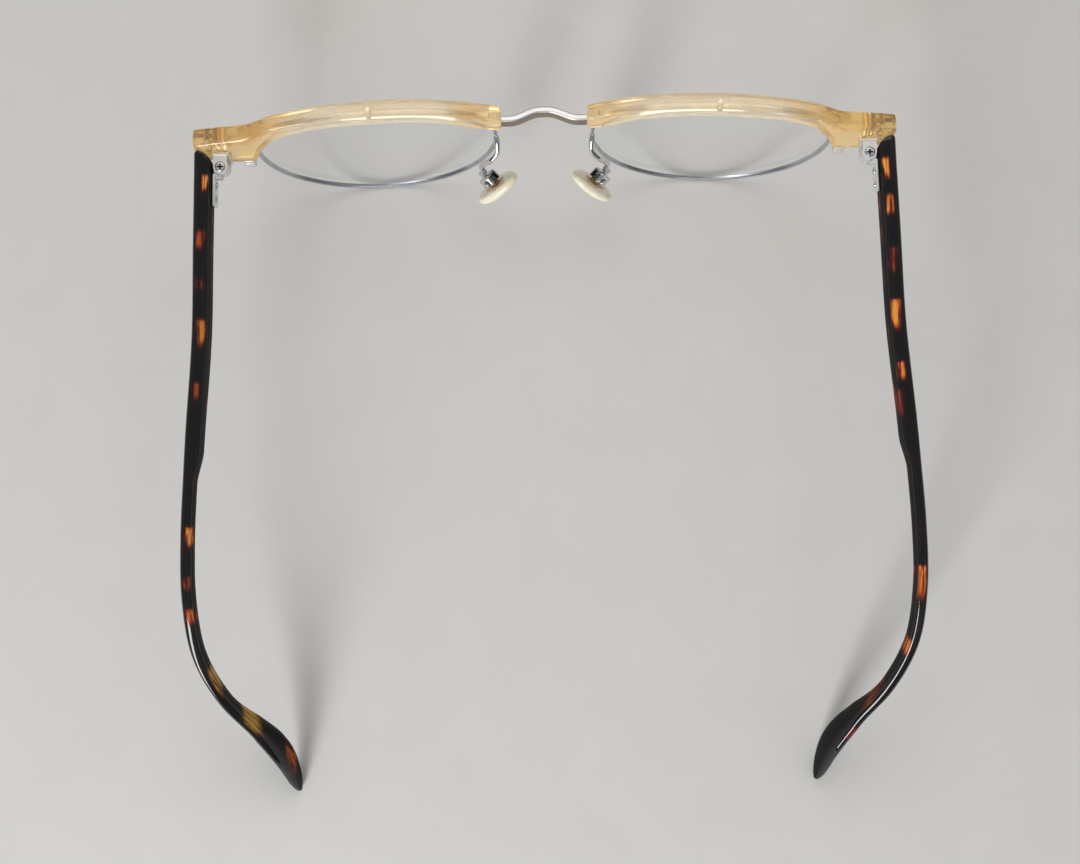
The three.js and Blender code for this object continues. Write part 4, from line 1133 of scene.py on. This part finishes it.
# the cross of the hinge screw's head is darkened by painted shade
SCREW = plated_metal("screw_steel", 900.0, 2.0, (0.6, 0.6, 0.61), (0.7, 0.7, 0.7), 0.28, 0.36,
                     inside=(painted_shade_in_the_cross, (0.015, 0.015, 0.018)))
BRONZE = satin_metal("dark_bronze", (0.1, 0.07, 0.045), (0.17, 0.12, 0.08), 0.25, 0.35)
CHROME = plated_metal("bright_plate", 420.0, 3.0, (0.62, 0.62, 0.64), (0.74, 0.74, 0.73), 0.05, 0.13,
                      bump=0.00002)
GOLD = plated_metal("gold_insert", 700.0, 3.0, (0.55, 0.32, 0.12), (0.78, 0.52, 0.25), 0.22, 0.34,
                    inside=(behind_the_plate, (0.2, 0.2, 0.21)))
SILICONE = pad_silicone()
LENS = clear_lens()


def front_pieces():
    metal = ("frame_metal", SILVER)
    chrome = ("chrome_metal", CHROME)
    piece("shown_bridge", bridge_mesh(), "bridge", STRIP, "front")
    both_sides("eyewire", eyewire_mesh(), "frame_metal", NICKEL)
    both_sides("lens", lens_mesh(), "lens", LENS)
    both_sides("brow", brow_mesh(), "brow_acetate", CHAMPAGNE)
    both_sides("brow_screw", brow_screw_mesh(), *metal)
    both_sides("plaque", plaque_mesh(), "frame_metal", BRONZE)
    for level, z in RIVET_Z.items():
        both_sides(f"hinge_rivet_{level}", hinge_rivet_mesh(z), *metal)
    low, high = WIDEST_Z - BLOCK_BELOW, WIDEST_Z + BLOCK_ABOVE
    screw_top = high + FIT + BLOCK_SCREW["head_height"]
    both_sides("closing_block_upper", closing_block_mesh(WIDEST_Z + CLEARANCE / 2, high), *metal)
    both_sides("closing_block_lower", closing_block_mesh(low, WIDEST_Z - CLEARANCE / 2), *metal)
    both_sides("closing_screw", closing_screw_mesh(low + 2 * FIT, screw_top), "frame_metal", NICKEL)
    both_sides("hinge_front", front_hinge_mesh(), *metal)
    both_sides("hinge_screw", hinge_screw_mesh(), "frame_metal", SCREW)
    both_sides("pad_arm", pad_arm_mesh(), *chrome)
    both_sides("pad_box", pad_box_mesh(), *chrome)
    both_sides("pad_screw", pad_screw_mesh(), *chrome)
    both_sides("nose_pad", pad_mesh(), "pad_silicone", SILICONE, "pad_{side}")
    both_sides("pad_stem", pad_stem_mesh(), "pad_insert", GOLD, "pad_{side}")


def temple_pieces():
    for side in ("right", "left"):
        piece(f"shown_temple_{side}", temple_mesh(side), f"temple_{side}", TORTOISE,
              f"temple_{side}", mirror=side == "left")
    both_sides("hinge_leaf", hinge_leaf_mesh(), "frame_metal", SILVER, "temple_{side}")
    for place, behind in TEMPLE_RIVETS.items():
        both_sides(f"temple_rivet_{place}", temple_rivet_mesh(behind), "frame_metal", CHROME, "temple_{side}")
    for side in ("left", "right"):
        core = frame["nodes"][f"temple_core_{side}"]
        core.data.materials.clear()
        core.data.materials.append(NICKEL)


# ---- floor, light and camera
FLOOR_HALF = 1.6


def floor():
    half = FLOOR_HALF
    corners = [(-half, -half, 0), (half, -half, 0), (half, half, 0), (-half, half, 0)]
    mesh = bpy.data.meshes.new("floor")
    mesh.from_pydata(corners, [], [(0, 1, 2, 3)])
    mesh.materials.append(plain_floor())
    made = bpy.data.objects.new("floor", mesh)
    bpy.context.scene.collection.objects.link(made)


def softbox(name, at, target, size, power, colour):
    light = bpy.data.lights.new(name, "AREA")
    light.shape = "RECTANGLE"
    light.size, light.size_y = size
    light.energy = power
    light.color = colour
    made = bpy.data.objects.new(name, light)
    made.location = at
    made.rotation_euler = (Vector(target) - Vector(at)).to_track_quat("-Z", "Y").to_euler()
    bpy.context.scene.collection.objects.link(made)


def studio():
    world = bpy.data.worlds.new("studio")
    bpy.context.scene.world = world
    shader = Shader(world)
    sky = shader.colours(
        shader.part(shader.node("TexCoord").outputs["Generated"], "Z"),
        (0.0, (0.16, 0.16, 0.165)),
        (0.3, (0.28, 0.28, 0.29)),
        (0.6, (0.66, 0.67, 0.69)),
        (0.9, (0.42, 0.425, 0.435)),
    )
    background = shader.node("Background", {"Color": sky, "Strength": 0.6})
    shader.node("OutputWorld", {"Surface": background.outputs[0]})
    middle = (0, 0, 0.02)
    softbox("window", (-0.36, -0.8, 0.42), middle, (0.28, 0.7), 8.6, (0.96, 0.98, 1.0))
    softbox("overhead", (0.05, 0.5, 0.75), middle, (0.8, 0.5), 1.9, (1.0, 0.985, 0.96))


CAMERA_HEIGHT = 360
CAMERA_ASIDE = -2.2  # to the wearer's left
CAMERA_TURN = -1.3  # degrees
CAMERA_SENSOR, CAMERA_LENS = 36.0, 54.97


def camera():
    """Looking straight down on the front."""
    data = bpy.data.cameras.new("camera")
    data.sensor_width = CAMERA_SENSOR
    data.lens = CAMERA_LENS
    data.clip_start = 0.01
    made = bpy.data.objects.new("camera", data)
    made.location = (CAMERA_ASIDE * MM, AHEAD * MM, CAMERA_HEIGHT * MM)
    made.rotation_euler = (0, 0, math.radians(CAMERA_TURN))
    bpy.context.scene.collection.objects.link(made)
    bpy.context.scene.camera = made


front_pieces()
temple_pieces()
floor()
studio()
camera()
bpy.context.scene.view_settings.view_transform = "Standard"
